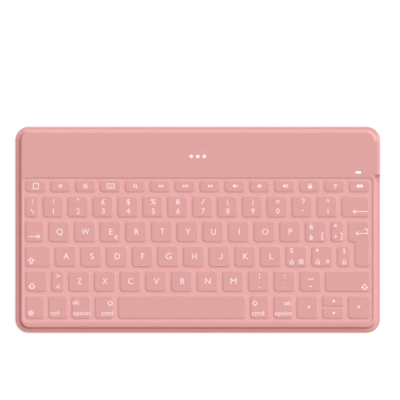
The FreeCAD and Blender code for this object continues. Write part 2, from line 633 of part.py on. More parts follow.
def loop(w, d, r, cx, cy, z):
    x0, x1, y0, y1 = cx - w / 2, cx + w / 2, cy - d / 2, cy + d / 2
    q = r * (1 - math.sqrt(0.5))
    pts = [
        (V(x0 + r, y0, z), V(x1 - r, y0, z)), (V(x1 - r, y0, z), V(x1 - q, y0 + q, z), V(x1, y0 + r, z)),
        (V(x1, y0 + r, z), V(x1, y1 - r, z)), (V(x1, y1 - r, z), V(x1 - q, y1 - q, z), V(x1 - r, y1, z)),
        (V(x1 - r, y1, z), V(x0 + r, y1, z)), (V(x0 + r, y1, z), V(x0 + q, y1 - q, z), V(x0, y1 - r, z)),
        (V(x0, y1 - r, z), V(x0, y0 + r, z)), (V(x0, y0 + r, z), V(x0 + q, y0 + q, z), V(x0 + r, y0, z)),
    ]
    return Part.Wire([Part.LineSegment(*p).toShape() if len(p) == 2 else Part.Arc(*p).toShape() for p in pts])


def frustum(a, b):
    """Solid between two rounded rectangles, each (w, d, r, cx, cy, z)."""
    return Part.makeLoft([loop(*a), loop(*b)], True, True)


def block(x0, x1, y0, y1, z0, z1):
    return Part.makeBox(x1 - x0, y1 - y0, z1 - z0, V(x0, y0, z0))


w, d, h, R = val["body_width"], val["body_depth"], val["body_height"], val["corner_radius"]
lw, lh, ri, t = val["lip_width"], val["lip_height"], val["rim_inset"], val["skin_thick"]
b0 = val["back_thick"]
outer = frustum((w, d, R, 0, 0, b0), (w, d, R, 0, 0, lh - 0.45))
outer = outer.fuse(frustum((w, d, R, 0, 0, lh - 0.45), (w - 2 * lw, d - 2 * lw, R - lw, 0, 0, lh)))
outer = outer.fuse(frustum((w - 2 * lw, d - 2 * lw, R - lw, 0, 0, lh), (w - 2 * ri, d - 2 * ri, R - ri, 0, 0, h)))
pf, p0, p1 = val["port_face"], val["port_front"], val["port_back"]
port = block(114.0, pf, p0, p1, b0, h - 0.35)
port = port.makeFillet(0.7, [e for e in port.Edges if all(abs(v.X - pf) < 1e-6 for v in e.Vertexes) and any(v.Z > 5 for v in e.Vertexes)])
outer = outer.fuse(port)
wr, wb, wf, run = val["well_right"], val["well_back"], val["well_front"], val["well_run"]
wc = val["well_corner"]
web = val["web_top"]
cy = (wb + wf) / 2
well = frustum((2 * (wr - run), wb - wf - 2 * run, wc - 1.0, 0, cy, web), (2 * wr, wb - wf, wc, 0, cy, h))
well = well.fuse(frustum((2 * wr, wb - wf, wc, 0, cy, h), (2 * wr, wb - wf, wc, 0, cy, h + 1)))
outer = outer.cut(well)
kr, kt, kc = val["key_run"], val["key_top"], val["key_corner"]
bumps, pits = [], []
for name, node, rects in KEYS:
    bump = pit = None
    for l, r, f, b in rects:
        bw, bd, mx, my = r.v - l.v, b.v - f.v, (l.v + r.v) / 2, (f.v + b.v) / 2
        one = frustum((bw, bd, kc, mx, my, web - 0.2), (bw, bd, kc, mx, my, web))
        one = one.fuse(frustum((bw, bd, kc, mx, my, web), (bw - 2 * kr, bd - 2 * kr, kc - kr, mx, my, kt)))
        hole = frustum((bw - 2.3, bd - 2.3, kc - 1.15, mx, my, web - t - 0.2), (bw - 2.3, bd - 2.3, kc - 1.15, mx, my, kt - t))
        bump = one if bump is None else bump.fuse(one)
        pit = hole if pit is None else pit.fuse(hole)
    bumps.append(bump)
    pits.append(pit)
outer = outer.fuse(bumps).removeSplitter()
inner = frustum((w - 1.0, d - 1.0, R - 0.5, 0, 0, b0 - 0.5), (w - 1.0, d - 1.0, R - 0.5, 0, 0, lh - 0.45))
slope = (ri - lw) / (h - lh)


def at(z):
    return 2 * (lw + (z - lh) * slope + 0.5)


zi = 4.9
inner = inner.fuse(frustum((w - 5.0, d - 5.0, R - 2.5, 0, 0, lh - 0.45), (w - at(zi), d - at(zi), R - at(zi) / 2, 0, 0, zi)))
inner = inner.cut(block(-115.6, 115.6, -61.55, 34.12, web - t, 7))
inner = inner.fuse(frustum((w - at(zi), 28.7, 3.2, 0, 49.72, zi - 0.2), (w - at(5.55), 28.5, 3.2, 0, 49.72, 5.55)))
inner = inner.fuse(frustum((228.6, 2.1, 0.7, 0, -62.65, zi - 0.3), (228.6, 2.1, 0.7, 0, -62.65, 5.55)))
inner = inner.fuse(block(113.0, pf - 0.45, p0 + 0.55, p1 - 0.55, b0 - 0.2, 4.95))
inner = inner.fuse(pits)
formed = outer.cut(inner)
sy, sz = val["socket_y"], val["socket_z"]
formed = formed.cut(block(119, 123, sy - 4.1, sy + 4.1, sz - 1.5, sz + 1.5))
formed = formed.cut(block(119, 123, val["toggle_y"] - 2.6, val["toggle_y"] + 2.6, sz - 0.9, sz + 0.9))
lx, ly, ll, lwd = val["light_x"], val["light_y"], val["light_long"], val["light_wide"]
formed = formed.cut(frustum((ll + 0.1, lwd + 0.1, lwd / 2, lx, ly, 4), (ll + 0.1, lwd + 0.1, lwd / 2, lx, ly, 7)))
skin.Shape = formed.removeSplitter()
skin.Placement = FreeCAD.Placement()
skin.Label = "top_skin"
NODES.append(skin)

# ---------------------------------------------------------------- check and write
bad = [o.Name for o in doc.Objects if "Invalid" in o.State or "Error" in o.State]
if bad:
    raise RuntimeError("failed objects: %s" % bad)
labels = [o.Label for o in NODES]
assert len(labels) == len(set(labels)) and len(labels) <= 60, len(labels)
for o in NODES:
    s = o.Shape
    if s.isNull() or not s.isValid() or not s.Solids:
        raise RuntimeError("bad shape: " + o.Label)
for f in os.listdir("parts"):
    if f.endswith(".step"):
        os.remove(os.path.join("parts", f))
for o in NODES:
    o.Shape.exportStep("parts/" + o.Label + ".step")
    bb = o.Shape.BoundBox
    print("%-24s solids %3d vol %10.2f  x %.2f %.2f  y %.2f %.2f  z %.2f %.2f" % (
        o.Label, len(o.Shape.Solids), o.Shape.Volume, bb.XMin, bb.XMax, bb.YMin, bb.YMax, bb.ZMin, bb.ZMax))
print("nodes", len(NODES), "keys", len(KEYS))
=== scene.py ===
import bpy
import json
import math
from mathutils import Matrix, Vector
from mathutils.geometry import delaunay_2d_cdt


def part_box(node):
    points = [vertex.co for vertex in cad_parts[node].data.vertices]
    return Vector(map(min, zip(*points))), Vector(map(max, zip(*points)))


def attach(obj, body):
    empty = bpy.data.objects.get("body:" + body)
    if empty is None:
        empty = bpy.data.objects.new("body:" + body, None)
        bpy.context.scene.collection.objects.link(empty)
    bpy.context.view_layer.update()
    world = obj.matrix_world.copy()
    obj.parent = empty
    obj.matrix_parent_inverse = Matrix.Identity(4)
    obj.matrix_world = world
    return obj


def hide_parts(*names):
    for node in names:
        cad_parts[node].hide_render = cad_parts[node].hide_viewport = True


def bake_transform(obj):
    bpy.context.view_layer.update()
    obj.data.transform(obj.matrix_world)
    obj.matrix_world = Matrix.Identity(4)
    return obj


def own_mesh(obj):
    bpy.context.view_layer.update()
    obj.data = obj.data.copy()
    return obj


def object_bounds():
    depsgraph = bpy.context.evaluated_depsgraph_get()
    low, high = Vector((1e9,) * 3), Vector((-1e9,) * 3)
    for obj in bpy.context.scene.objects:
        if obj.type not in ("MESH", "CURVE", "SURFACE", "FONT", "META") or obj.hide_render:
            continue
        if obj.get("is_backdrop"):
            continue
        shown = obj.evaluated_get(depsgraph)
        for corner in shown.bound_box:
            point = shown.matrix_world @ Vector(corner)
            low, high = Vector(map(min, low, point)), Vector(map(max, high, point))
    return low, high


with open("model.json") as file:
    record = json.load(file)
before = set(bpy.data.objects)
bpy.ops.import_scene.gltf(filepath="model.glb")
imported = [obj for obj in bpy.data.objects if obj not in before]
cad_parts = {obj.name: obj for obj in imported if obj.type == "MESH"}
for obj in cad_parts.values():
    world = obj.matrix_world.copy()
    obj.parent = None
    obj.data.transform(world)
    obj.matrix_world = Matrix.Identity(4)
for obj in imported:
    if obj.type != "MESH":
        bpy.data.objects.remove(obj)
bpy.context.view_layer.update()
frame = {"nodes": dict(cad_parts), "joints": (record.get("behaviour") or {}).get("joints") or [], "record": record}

MM = 0.001
scene = bpy.context.scene
NODES, JOINTS = frame["nodes"], frame["joints"]
BODY_OF = {n: b for b, ns in frame["record"]["behaviour"]["bodies"].items() for n in ns}
JOINT_OF = {j["child"]: j["name"] for j in JOINTS}
ROOT = BODY_OF["perimeter_frame"]

# ------------------------------------------------------------------ sizes of the formed skin, in millimetres
HALF_W, HALF_D, CORNER = 121.0, 68.5, 9.0
TOP, WEB, KEY_TOP = 6.0, 5.54, 5.93
WELL = (-115.2, 115.2, -60.0, 33.77)  # foot of the well's wall
CAP_INSET = 1.3                      # a cap's side to the outline where the skin leaves the web
KEY_R = 2.75


# ------------------------------------------------------------------ small mesh builder
class Build:
    def __init__(self):
        self.v, self.f, self.tone, self.deep, self.turn = [], [], [], [], 0

    def add(self, pts, tone=0.0):
        i = len(self.v)
        self.v += [tuple(p) for p in pts]
        self.tone += [tone] * len(pts)
        self.deep += [0.0] * len(pts)
        return list(range(i, i + len(pts)))

    def strip(self, low, high, closed=True):
        """Quads from one loop to the next; seen from above both run anticlockwise, low outside or below."""
        n = len(low)
        for i in range(n if closed else n - 1):
            k = (i + 1) % n
            self.f.append((low[i], low[k], high[k], high[i]))

    def flat(self, loops, up=True, plane="xy"):
        """Fills between the first loop and the others, which are holes, using the loops' own vertices."""
        ids = [i for lp in loops for i in lp]
        pick = {"xy": lambda p: (p[0], p[1]), "yz": lambda p: (p[1], p[2])}[plane]
        co = [Vector(pick(self.v[i])) for i in ids]
        edges, k, sides = [], 0, []
        for lp in loops:
            n = len(lp)
            edges += [(k + i, k + (i + 1) % n) for i in range(n)]
            pts = [pick(self.v[i]) for i in lp]
            sides.append((min(p[0] for p in pts), max(p[0] for p in pts), min(p[1] for p in pts), max(p[1] for p in pts), pts))
            k += n

        def inside(side, x, y):
            x0, x1, y0, y1, pts = side
            if not (x0 <= x <= x1 and y0 <= y <= y1):
                return False
            hit, (px, py) = False, pts[-1]
            for qx, qy in pts:
                if (qy > y) != (py > y) and x < (px - qx) * (y - qy) / (py - qy) + qx:
                    hit = not hit
                px, py = qx, qy
            return hit

        vs, _, fs, ov, _, _ = delaunay_2d_cdt(co, edges, [], 0, 1e-7, True)
        back = [ids[o[0]] if o else None for o in ov]
        for f in fs:
            g = [back[i] for i in f]
            if None in g:
                raise ValueError("loops cross in a flat fill")
            p = [pick(self.v[i]) for i in g]
            x, y = sum(q[0] for q in p) / len(p), sum(q[1] for q in p) / len(p)
            if not inside(sides[0], x, y) or any(inside(s, x, y) for s in sides[1:]):
                continue
            (ax, ay), (bx, by), (cx, cy) = p[:3]
            area = (bx - ax) * (cy - ay) - (by - ay) * (cx - ax)
            if abs(area) < 1e-9:
                continue
            if (area > 0) != up:
                g = g[::-1]
            self.f.append(tuple(g))

    def object(self, name, material, smooth=True, slot=None, weighted=True):
        me = bpy.data.meshes.new(name)
        me.from_pydata([(x * MM, y * MM, z * MM) for x, y, z in self.v], [], self.f)
        me.validate()
        for kind, values in (("tone", self.tone), ("deep", self.deep)):
            if any(values):
                at = me.attributes.new(kind, "FLOAT", "POINT")
                at.data.foreach_set("value", values)
        me.polygons.foreach_set("use_smooth", [smooth] * len(me.polygons))
        me.update()
        ob = bpy.data.objects.new(name, me)
        scene.collection.objects.link(ob)
        me.materials.append(material)
        if weighted and smooth:
            m = ob.modifiers.new("normals", "WEIGHTED_NORMAL")
            m.keep_sharp = False
            m.weight = 60
        return ob


def ring(corners, d, z, n=6):
    """Loop round an outline of right-angled corners, moved inward by d. A corner is (x, y, inward x, inward y, radius, convex)."""
    pts, m = [], len(corners)
    moved = [(x + sx * d, y + sy * d, max(0.12, r - d if cv else r + d)) for x, y, sx, sy, r, cv in corners]
    for i in range(m):
        x, y, r = moved[i]
        px, py, _ = moved[i - 1]
        qx, qy, _ = moved[(i + 1) % m]
        a = (Vector((px - x, py - y))).normalized()
        b = (Vector((qx - x, qy - y))).normalized()
        c = Vector((x, y)) + (a + b) * r
        for k in range(n + 1):
            th = math.pi / 2 * k / n
            p = c - b * r * math.cos(th) - a * r * math.sin(th)
            pts.append((p.x, p.y, z))
    return pts


def box_corners(x0, x1, y0, y1, r):
    rs = r if isinstance(r, (list, tuple)) else [r] * 4
    return [(x0, y0, 1, 1, rs[0], True), (x1, y0, -1, 1, rs[1], True), (x1, y1, -1, -1, rs[2], True), (x0, y1, 1, -1, rs[3], True)]


# ------------------------------------------------------------------ materials
def new_material(name):
    m = bpy.data.materials.new(name)
    m.use_nodes = True
    nt = m.node_tree
    nt.nodes.clear()
    out = nt.nodes.new("ShaderNodeOutputMaterial")
    sh = nt.nodes.new("ShaderNodeBsdfPrincipled")
    nt.links.new(sh.outputs[0], out.inputs[0])
    return m, nt, sh


def node(nt, kind, **inputs):
    n = nt.nodes.new(kind)
    for k, v in inputs.items():
        if k in n.inputs:
            n.inputs[k].default_value = v
        else:
            setattr(n, k, v)
    return n


def mixed(nt, fac, a, b):
    """Colour between a and b; a and b are a colour or a socket."""
    m = nt.nodes.new("ShaderNodeMix")
    m.data_type = "RGBA"
    for sock, val in ((m.inputs[6], a), (m.inputs[7], b)):
        if isinstance(val, (tuple, list)):
            sock.default_value = (*val[:3], 1.0)
        else:
            nt.links.new(val, sock)
    if isinstance(fac, float):
        m.inputs[0].default_value = fac
    else:
        nt.links.new(fac, m.inputs[0])
    return m.outputs[2]


def ranged(nt, socket, lo, hi, from_lo=0.3, from_hi=0.7):
    r = node(nt, "ShaderNodeMapRange")
    nt.links.new(socket, r.inputs["Value"])
    for k, v in (("From Min", from_lo), ("From Max", from_hi), ("To Min", lo), ("To Max", hi)):
        r.inputs[k].default_value = v
    return r.outputs["Result"]


def scaled(c, k):
    return tuple(min(1.0, x * k) for x in c)


def skin_material(name, base, valley, with_tone=True):
    """Coated textile: fine grain, faint mottling, soft sheen, lighter on the web in the well, with painted shade and
    painted light along the edge.
    """
    m, nt, sh = new_material(name)
    co = node(nt, "ShaderNodeTexCoord").outputs["Object"]
    mottle = node(nt, "ShaderNodeTexNoise", Scale=90.0, Detail=4.0, Roughness=0.6)
    fleck = node(nt, "ShaderNodeTexNoise", Scale=1800.0, Detail=2.0, Roughness=0.5)
    grain = node(nt, "ShaderNodeTexVoronoi", Scale=2600.0)
    for n in (mottle, fleck, grain):
        nt.links.new(co, n.inputs["Vector"])
    if with_tone:
        tone = node(nt, "ShaderNodeAttribute", attribute_name="tone").outputs["Fac"]
        col = mixed(nt, tone, base, valley)
        # tone below 0 turns the colour toward the lip's painted-shade colour; tone above 0 turns it toward the lighter
        # colour, which is painted light there
        far = nt.nodes.new("ShaderNodeMix")
        far.data_type = "RGBA"
        far.inputs[7].default_value = (*LIP_PAINTED_SHADE, 1.0)
        nt.links.new(ranged(nt, tone, 1.0, 0.0, -1.0, 0.0), far.inputs[0])
        nt.links.new(col, far.inputs[6])
        deep = node(nt, "ShaderNodeAttribute", attribute_name="deep").outputs["Fac"]
        # painted shade: deep from 0 to 1 turns the colour toward the darker, redder flank colour
        col = mixed(nt, ranged(nt, deep, 0.0, 1.0, 0.0, 1.0), far.outputs[2], FLANK_PAINTED_SHADE)
        # painted shadow: deep from 1 to 2 turns it toward the much darker front left corner colour
        col = mixed(nt, ranged(nt, deep, 0.0, 1.0, 1.0, 2.0), col, CORNER_PAINTED_SHADOW)
    else:
        col = mixed(nt, 0.0, base, valley)
    shade = mixed(nt, ranged(nt, mottle.outputs[0], 0.0, 1.0), (0.988, 0.984, 0.984), (1.01, 1.01, 1.01))
    mul = nt.nodes.new("ShaderNodeMix")
    mul.data_type, mul.blend_type = "RGBA", "MULTIPLY"
    mul.inputs[0].default_value = 1.0
    nt.links.new(col, mul.inputs[6])
    nt.links.new(shade, mul.inputs[7])
    fl = mixed(nt, ranged(nt, fleck.outputs[0], 0.0, 1.0, 0.35, 0.65), (0.975, 0.97, 0.97), (1.02, 1.02, 1.02))
    mul2 = nt.nodes.new("ShaderNodeMix")
    mul2.data_type, mul2.blend_type = "RGBA", "MULTIPLY"
    mul2.inputs[0].default_value = 1.0
    nt.links.new(mul.outputs[2], mul2.inputs[6])
    nt.links.new(fl, mul2.inputs[7])
    nt.links.new(mul2.outputs[2], sh.inputs["Base Color"])
    nt.links.new(ranged(nt, fleck.outputs[0], 0.66, 0.82), sh.inputs["Roughness"])
    b1 = node(nt, "ShaderNodeBump", Strength=0.25, Distance=0.00006)
    nt.links.new(grain.outputs["Distance"], b1.inputs["Height"])
    b2 = node(nt, "ShaderNodeBump", Strength=0.2, Distance=0.0002)
    nt.links.new(mottle.outputs[0], b2.inputs["Height"])
    nt.links.new(b1.outputs[0], b2.inputs["Normal"])
    nt.links.new(b2.outputs[0], sh.inputs["Normal"])
    sh.inputs["Specular IOR Level"].default_value = 0.28
    sh.inputs["Sheen Weight"].default_value = 0.12
    sh.inputs["Sheen Roughness"].default_value = 0.5
    sh.inputs["Sheen Tint"].default_value = (1.0, 0.82, 0.80, 1.0)
    return m


def plain(name, base, rough=(0.4, 0.55), metal=0.0, scale=400.0, depth=0.00003, strength=0.3, vary=0.06, spec=0.5, stretch=None, coat=0.0, ior=1.45, transmission=0.0, emit=0.0):
    """Moulded plastic, metal or film: noise varies its colour and roughness and gives a shallow surface texture."""
    m, nt, sh = new_material(name)
    co = node(nt, "ShaderNodeTexCoord").outputs["Object"]
    if stretch:
        mp = node(nt, "ShaderNodeMapping")
        mp.inputs["Scale"].default_value = stretch
        nt.links.new(co, mp.inputs["Vector"])
        co = mp.outputs[0]
    big = node(nt, "ShaderNodeTexNoise", Scale=scale * 0.2, Detail=3.0)
    fine = node(nt, "ShaderNodeTexNoise", Scale=scale, Detail=4.0, Roughness=0.6)
    for n in (big, fine):
        nt.links.new(co, n.inputs["Vector"])
    nt.links.new(mixed(nt, ranged(nt, big.outputs[0], 0.0, 1.0), scaled(base, 1 - vary), scaled(base, 1 + vary)), sh.inputs["Base Color"])
    nt.links.new(ranged(nt, fine.outputs[0], rough[0], rough[1]), sh.inputs["Roughness"])
    b = node(nt, "ShaderNodeBump", Strength=strength, Distance=depth)
    nt.links.new(fine.outputs[0], b.inputs["Height"])
    nt.links.new(b.outputs[0], sh.inputs["Normal"])
    sh.inputs["Metallic"].default_value = metal
    sh.inputs["Specular IOR Level"].default_value = spec
    sh.inputs["IOR"].default_value = ior
    if coat:
        sh.inputs["Coat Weight"].default_value = coat
    if transmission:
        sh.inputs["Transmission Weight"].default_value = transmission
    if emit:
        sh.inputs["Emission Color"].default_value = (*base, 1.0)
        sh.inputs["Emission Strength"].default_value = emit
    return m


PINK = (0.652, 0.328, 0.315)
# lighter colour: on the web between the keys, and as painted light on the inner lip and the flank's foot
PALE = (0.722, 0.369, 0.362)
# painted shade: darker, greyer colour for the lip's rounded outer edge
LIP_PAINTED_SHADE = (0.632, 0.350, 0.342)
# painted shade: darker, redder colour for the flank, the wall between lip and top
FLANK_PAINTED_SHADE = (0.625, 0.280, 0.268)
# painted shadow: much darker colour for the flank at the front left corner
CORNER_PAINTED_SHADOW = (0.430, 0.165, 0.155)
M = {
    "skin": skin_material("coated_fabric", PINK, PALE),
    "back": skin_material("coated_fabric_back", scaled(PINK, 0.96), PALE, with_tone=False),
    "print": plain("legend_print", (0.90, 0.72, 0.70), rough=(0.5, 0.6), scale=1500.0, depth=0.00001, vary=0.02, spec=0.3),
    "white": plain("white_print", (0.90, 0.77, 0.77), rough=(0.45, 0.55), scale=1500.0, depth=0.00001, vary=0.015, spec=0.35),
    "lens": plain("milky_lens", (0.95, 0.90, 0.90), rough=(0.12, 0.2), scale=900.0, depth=0.00001, vary=0.02, coat=0.3),
    "cap": plain("cap_plastic", (0.80, 0.55, 0.53), rough=(0.45, 0.6), scale=1200.0),
    "frame": plain("frame_plastic", (0.74, 0.43, 0.41), rough=(0.5, 0.65), scale=1600.0, depth=0.00004),
    "film": plain("membrane_film", (0.74, 0.80, 0.77), rough=(0.25, 0.4), scale=300.0, vary=0.08, coat=0.2),
    "flex": plain("amber_film", (0.50, 0.26, 0.06), rough=(0.25, 0.38), scale=700.0, vary=0.12, coat=0.3),
    "rubber": plain("silicone_rubber", (0.82, 0.82, 0.80), rough=(0.5, 0.62), scale=1000.0),
    "steel": plain("rolled_steel", (0.60, 0.60, 0.61), rough=(0.26, 0.42), metal=1.0, scale=500.0, stretch=(0.08, 2.5, 1.0), strength=0.2),
    "nickel": plain("nickel_plate", (0.68, 0.67, 0.65), rough=(0.2, 0.32), metal=1.0, scale=1500.0, depth=0.00001),
    "wire": plain("spring_wire", (0.58, 0.58, 0.60), rough=(0.25, 0.4), metal=1.0, scale=1200.0, stretch=(0.1, 1, 1)),
    "pouch": plain("foil_pouch", (0.66, 0.67, 0.69), rough=(0.34, 0.5), metal=0.85, scale=260.0, depth=0.0001, strength=0.5),
    "board": plain("solder_mask", (0.02, 0.15, 0.07), rough=(0.3, 0.42), scale=900.0, vary=0.2, coat=0.4),
    "tin": plain("tinned_can", (0.56, 0.56, 0.57), rough=(0.3, 0.42), metal=1.0, scale=800.0),
    "black": plain("black_moulding", (0.025, 0.025, 0.027), rough=(0.4, 0.52), scale=1400.0, vary=0.2),
    "knob": plain("knob_plastic", (0.60, 0.30, 0.29), rough=(0.4, 0.55), scale=1600.0, depth=0.00004),
}
NODE_MATERIAL = {
    "perimeter_frame": "frame", "key_grid_frame": "frame", "bay_cover": "frame", "base_plate": "steel", "membrane_circuit": "film",
    "membrane_tail": "flex", "battery_cell": "pouch", "circuit_board": "board", "board_components": "tin", "board_screws": "nickel",
    "usb_socket_shell": "nickel", "usb_socket_insulator": "black", "power_switch_body": "black", "power_switch_slider": "knob",
    "status_light_lens": "lens", "space_stabiliser_wire": "wire", "rubber_domes": "rubber", "top_skin": "skin", "bottom_skin": "back",
}
for name, ob in NODES.items():
    ob.data.materials.clear()
    ob.data.materials.append(M[NODE_MATERIAL.get(name, "cap")])


# ------------------------------------------------------------------ where the keys are, read from the caps
def islands(ob):
    """Boxes of the separate solids in a node, in millimetres, each as (x0, x1, y0, y1)."""
    n = len(ob.data.vertices)
    root = list(range(n))

    def find(i):
        while root[i] != i:
            root[i] = root[root[i]]
            i = root[i]
        return i

    seen = {}
    for v in ob.data.vertices:
        k = (round(v.co.x, 7), round(v.co.y, 7), round(v.co.z, 7))
        if k in seen:
            root[find(v.index)] = find(seen[k])
        else:
            seen[k] = v.index
    for e in ob.data.edges:
        a, b = find(e.vertices[0]), find(e.vertices[1])
        if a != b:
            root[a] = b
    boxes = {}
    for v in ob.data.vertices:
        b = boxes.setdefault(find(v.index), [1e9, -1e9, 1e9, -1e9])
        x, y = v.co.x / MM, v.co.y / MM
        b[0], b[1], b[2], b[3] = min(b[0], x), max(b[1], x), min(b[2], y), max(b[3], y)
    return sorted(tuple(b) for b in boxes.values())


KEYS = []  # (node, corners of the outline, (x0, x1, y0, y1))
NECK_X, STEP_Y = 103.6, -8.6  # inner corner of the stepped enter key
# how far the formed outline sits from the cap below it: row's lowest y, dx at the left and right ends, dy of the foot and the head
ROWS = [(23.0, -0.03, -0.30, 0.0, 0.0), (6.0, -0.10, -0.30, 0.02, 0.02), (-9.5, -0.10, -0.22, 0.07, 0.04), (-26.0, -0.10, -0.22, 0.22, 0.16),
        (-42.8, 0.20, 0.20, 0.30, 0.26), (-70.0, 0.25, 0.25, 0.12, 0.28)]


def settled(x0, x1, y0, y1):
    foot = next(r for r in ROWS if y0 > r[0])
    head = next(r for r in ROWS if y1 - 3.0 > r[0])
    k = ((x0 + x1) / 2 + 115.0) / 230.0
    dx = foot[1] + (foot[2] - foot[1]) * k
    return max(-114.74, x0 + dx), min(114.74, x1 + dx), y0 + foot[3], y1 + head[4]


for name in sorted(NODES):
    if BODY_OF[name] == ROOT or JOINT_OF.get(BODY_OF[name], "").endswith("_press") is False:
        continue
    for x0, x1, y0, y1 in islands(NODES[name]):
        x0, x1, y0, y1 = settled(x0 - CAP_INSET, x1 + CAP_INSET, y0 - CAP_INSET, y1 + CAP_INSET)
        if name == "enter_key":
            r = KEY_R
            cs = [(NECK_X, y0, 1, 1, r, True), (x1, y0, -1, 1, r, True), (x1, y1, -1, -1, r, True), (x0, y1, 1, -1, r, True),
                  (x0, STEP_Y, 1, 1, r, True), (NECK_X, STEP_Y, 1, 1, 0.5, False)]
        elif name == "arrow_up_key":
            y0 -= 0.15
            cs = box_corners(x0, x1, y0, y1, (1.0, 1.0, 2.4, 2.0))
        elif name == "arrow_down_key":
            y1 += 0.15
            cs = box_corners(x0, x1, y0, y1, (2.6, 2.2, 1.0, 1.0))
        else:
            cs = box_corners(x0, x1, y0, y1, KEY_R)
        KEYS.append((name, cs, (x0, x1, y0, y1)))


def key_at(x, y):
    for name, _, (x0, x1, y0, y1) in KEYS:
        if x0 - 0.6 <= x <= x1 + 0.6 and y0 - 0.6 <= y <= y1 + 0.6:
            if name == "enter_key" and x < NECK_X and y < STEP_Y:
                continue
            return name
    raise ValueError("no key at %.1f %.1f" % (x, y))


# ------------------------------------------------------------------ the skin over each key: foot, fillet, slope, soft shoulder, flat top
KEY_PROFILE = [(-0.28, 0.0, 1.0), (-0.16, 0.0, 1.0), (-0.04, 0.012, 0.9), (0.10, 0.09, 0.45), (0.26, 0.23, 0.1), (0.44, 0.41, 0.0), (0.62, 0.58, 0.0),
               (0.80, 0.73, 0.0), (0.98, 0.85, 0.0), (1.16, 0.93, 0.0), (1.36, 0.98, 0.0), (1.6, 1.0, 0.0)]
RISE = KEY_TOP - WEB
web_holes = []
by_node = {}
for name, cs, rect in KEYS:
    by_node.setdefault(name, []).append((cs, rect))


def nipped(name, rect, pts):
    """The two half-height keys have a steeper shoulder along the side they share."""
    edge, way = {"arrow_up_key": (rect[2], 1.0), "arrow_down_key": (rect[3], -1.0)}.get(name, (0.0, 0.0))
    if not way:
        return pts
    out = []
    for x, y, z in pts:
        s = (y - edge) * way
        if s < 1.6:
            s = -0.28 + (s + 0.28) * 0.62
        elif s < 3.0:
            s = 0.8856 + (s - 1.6) * 2.1144 / 1.4
        out.append((x, edge + way * s, z))
    return out


for name, items in by_node.items():
    b = Build()
    for cs, rect in items:
        loops = [b.add(nipped(name, rect, ring(cs, d, WEB + h * RISE)), t) for d, h, t in KEY_PROFILE]
        for lo, hi in zip(loops, loops[1:]):
            b.strip(lo, hi)
        b.flat([loops[-1]])
        web_holes.append(nipped(name, rect, ring(cs, KEY_PROFILE[0][0], WEB)))
    ob = b.object("skin_over_" + name, M["skin"], slot="skin_fabric")
    x0, x1, y0, y1 = items[0][1]
    cx, cy = (x0 + x1) / 2 * MM, (y0 + y1) / 2 * MM
    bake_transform(ob)
    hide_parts("top_skin")

# ------------------------------------------------------------------ the rest of the skin: web, well wall, bay panel, rim, flank and lip
RIM = [(0.08, 0.45), (0.00, 0.54), (0.00, 1.40), (0.05, 1.72), (0.16, 1.99), (0.33, 2.20), (0.58, 2.36), (0.90, 2.43), (1.22, 2.40), (1.68, 2.32),
       (2.15, 2.32), (2.60, 2.46), (2.97, 2.78), (3.23, 3.32), (3.43, 4.02), (3.62, 4.75), (3.83, 5.42), (4.08, 5.85), (4.40, 6.00)]
PORT = [(0.08, 0.45), (0.00, 0.54), (0.00, 4.35), (0.06, 4.68), (0.20, 5.00), (0.42, 5.28), (0.74, 5.53), (1.12, 5.73), (1.52, 5.87),
        (1.92, 5.95), (2.34, 5.985), (2.76, 6.00), (3.10, 6.00), (3.40, 6.00), (3.66, 6.00), (3.90, 6.00), (4.06, 6.00), (4.22, 6.00), (4.40, 6.00)]
PORT_LOW, PORT_FULL, PORT_TOP = 34.75, 36.65, 57.3


def ease(t):
    t = max(0.0, min(1.0, t))
    return t * t * (3 - 2 * t)


samples = []  # (x, y, inward x, inward y, how far the edge is filled out to the port wall)


def arc_points(cx, cy, a0, n):
    for k in range(n + 1):
        a = math.radians(a0 + 90.0 * k / n)
        yield cx + CORNER * math.cos(a), cy + CORNER * math.sin(a), -math.cos(a), -math.sin(a), a


def line_points(p, q, n, nx, ny):
    for k in range(1, n):
        yield p[0] + (q[0] - p[0]) * k / n, p[1] + (q[1] - p[1]) * k / n, nx, ny


W0, D0 = HALF_W - CORNER, HALF_D - CORNER
for x, y, nx, ny, _ in arc_points(W0, -D0, 270, 16):
    samples.append((x, y, nx, ny, 0.0))
ys = [-40.0, -20.0, 0.0, 20.0, 32.0, 34.0]
ys += [PORT_LOW + (PORT_FULL - PORT_LOW) * k / 12 for k in range(13)]
ys += [37.2, 38.5, 40.0, 42.0, 44.0, 46.0, 48.0, 50.0, 52.0, 54.0, 55.5, 56.5, PORT_TOP, 58.0, 58.8]
for y in ys:
    t = ease((y - PORT_LOW) / (PORT_FULL - PORT_LOW)) if y < 45 else 1.0
    if y > PORT_TOP:
        t = ease(1 - (y - PORT_TOP) / 9.3)
    samples.append((HALF_W, y, -1.0, 0.0, t))
for x, y, nx, ny, a in arc_points(W0, D0, 0, 24):
    run = (D0 - PORT_TOP) + a * CORNER
    samples.append((x, y, nx, ny, ease(1 - run / 9.3)))
samples += [(*p, 0.0) for p in line_points((W0, HALF_D), (-W0, HALF_D), 12, 0, -1)]
for x, y, nx, ny, _ in arc_points(-W0, D0, 90, 16):
    samples.append((x, y, nx, ny, 0.0))
samples += [(*p, 0.0) for p in line_points((-HALF_W, D0), (-HALF_W, -D0), 8, 1, 0)]
for x, y, nx, ny, _ in arc_points(-W0, -D0, 180, 16):
    samples.append((x, y, nx, ny, 0.0))
samples += [(*p, 0.0) for p in line_points((-W0, -HALF_D), (W0, -HALF_D), 12, 0, 1)]

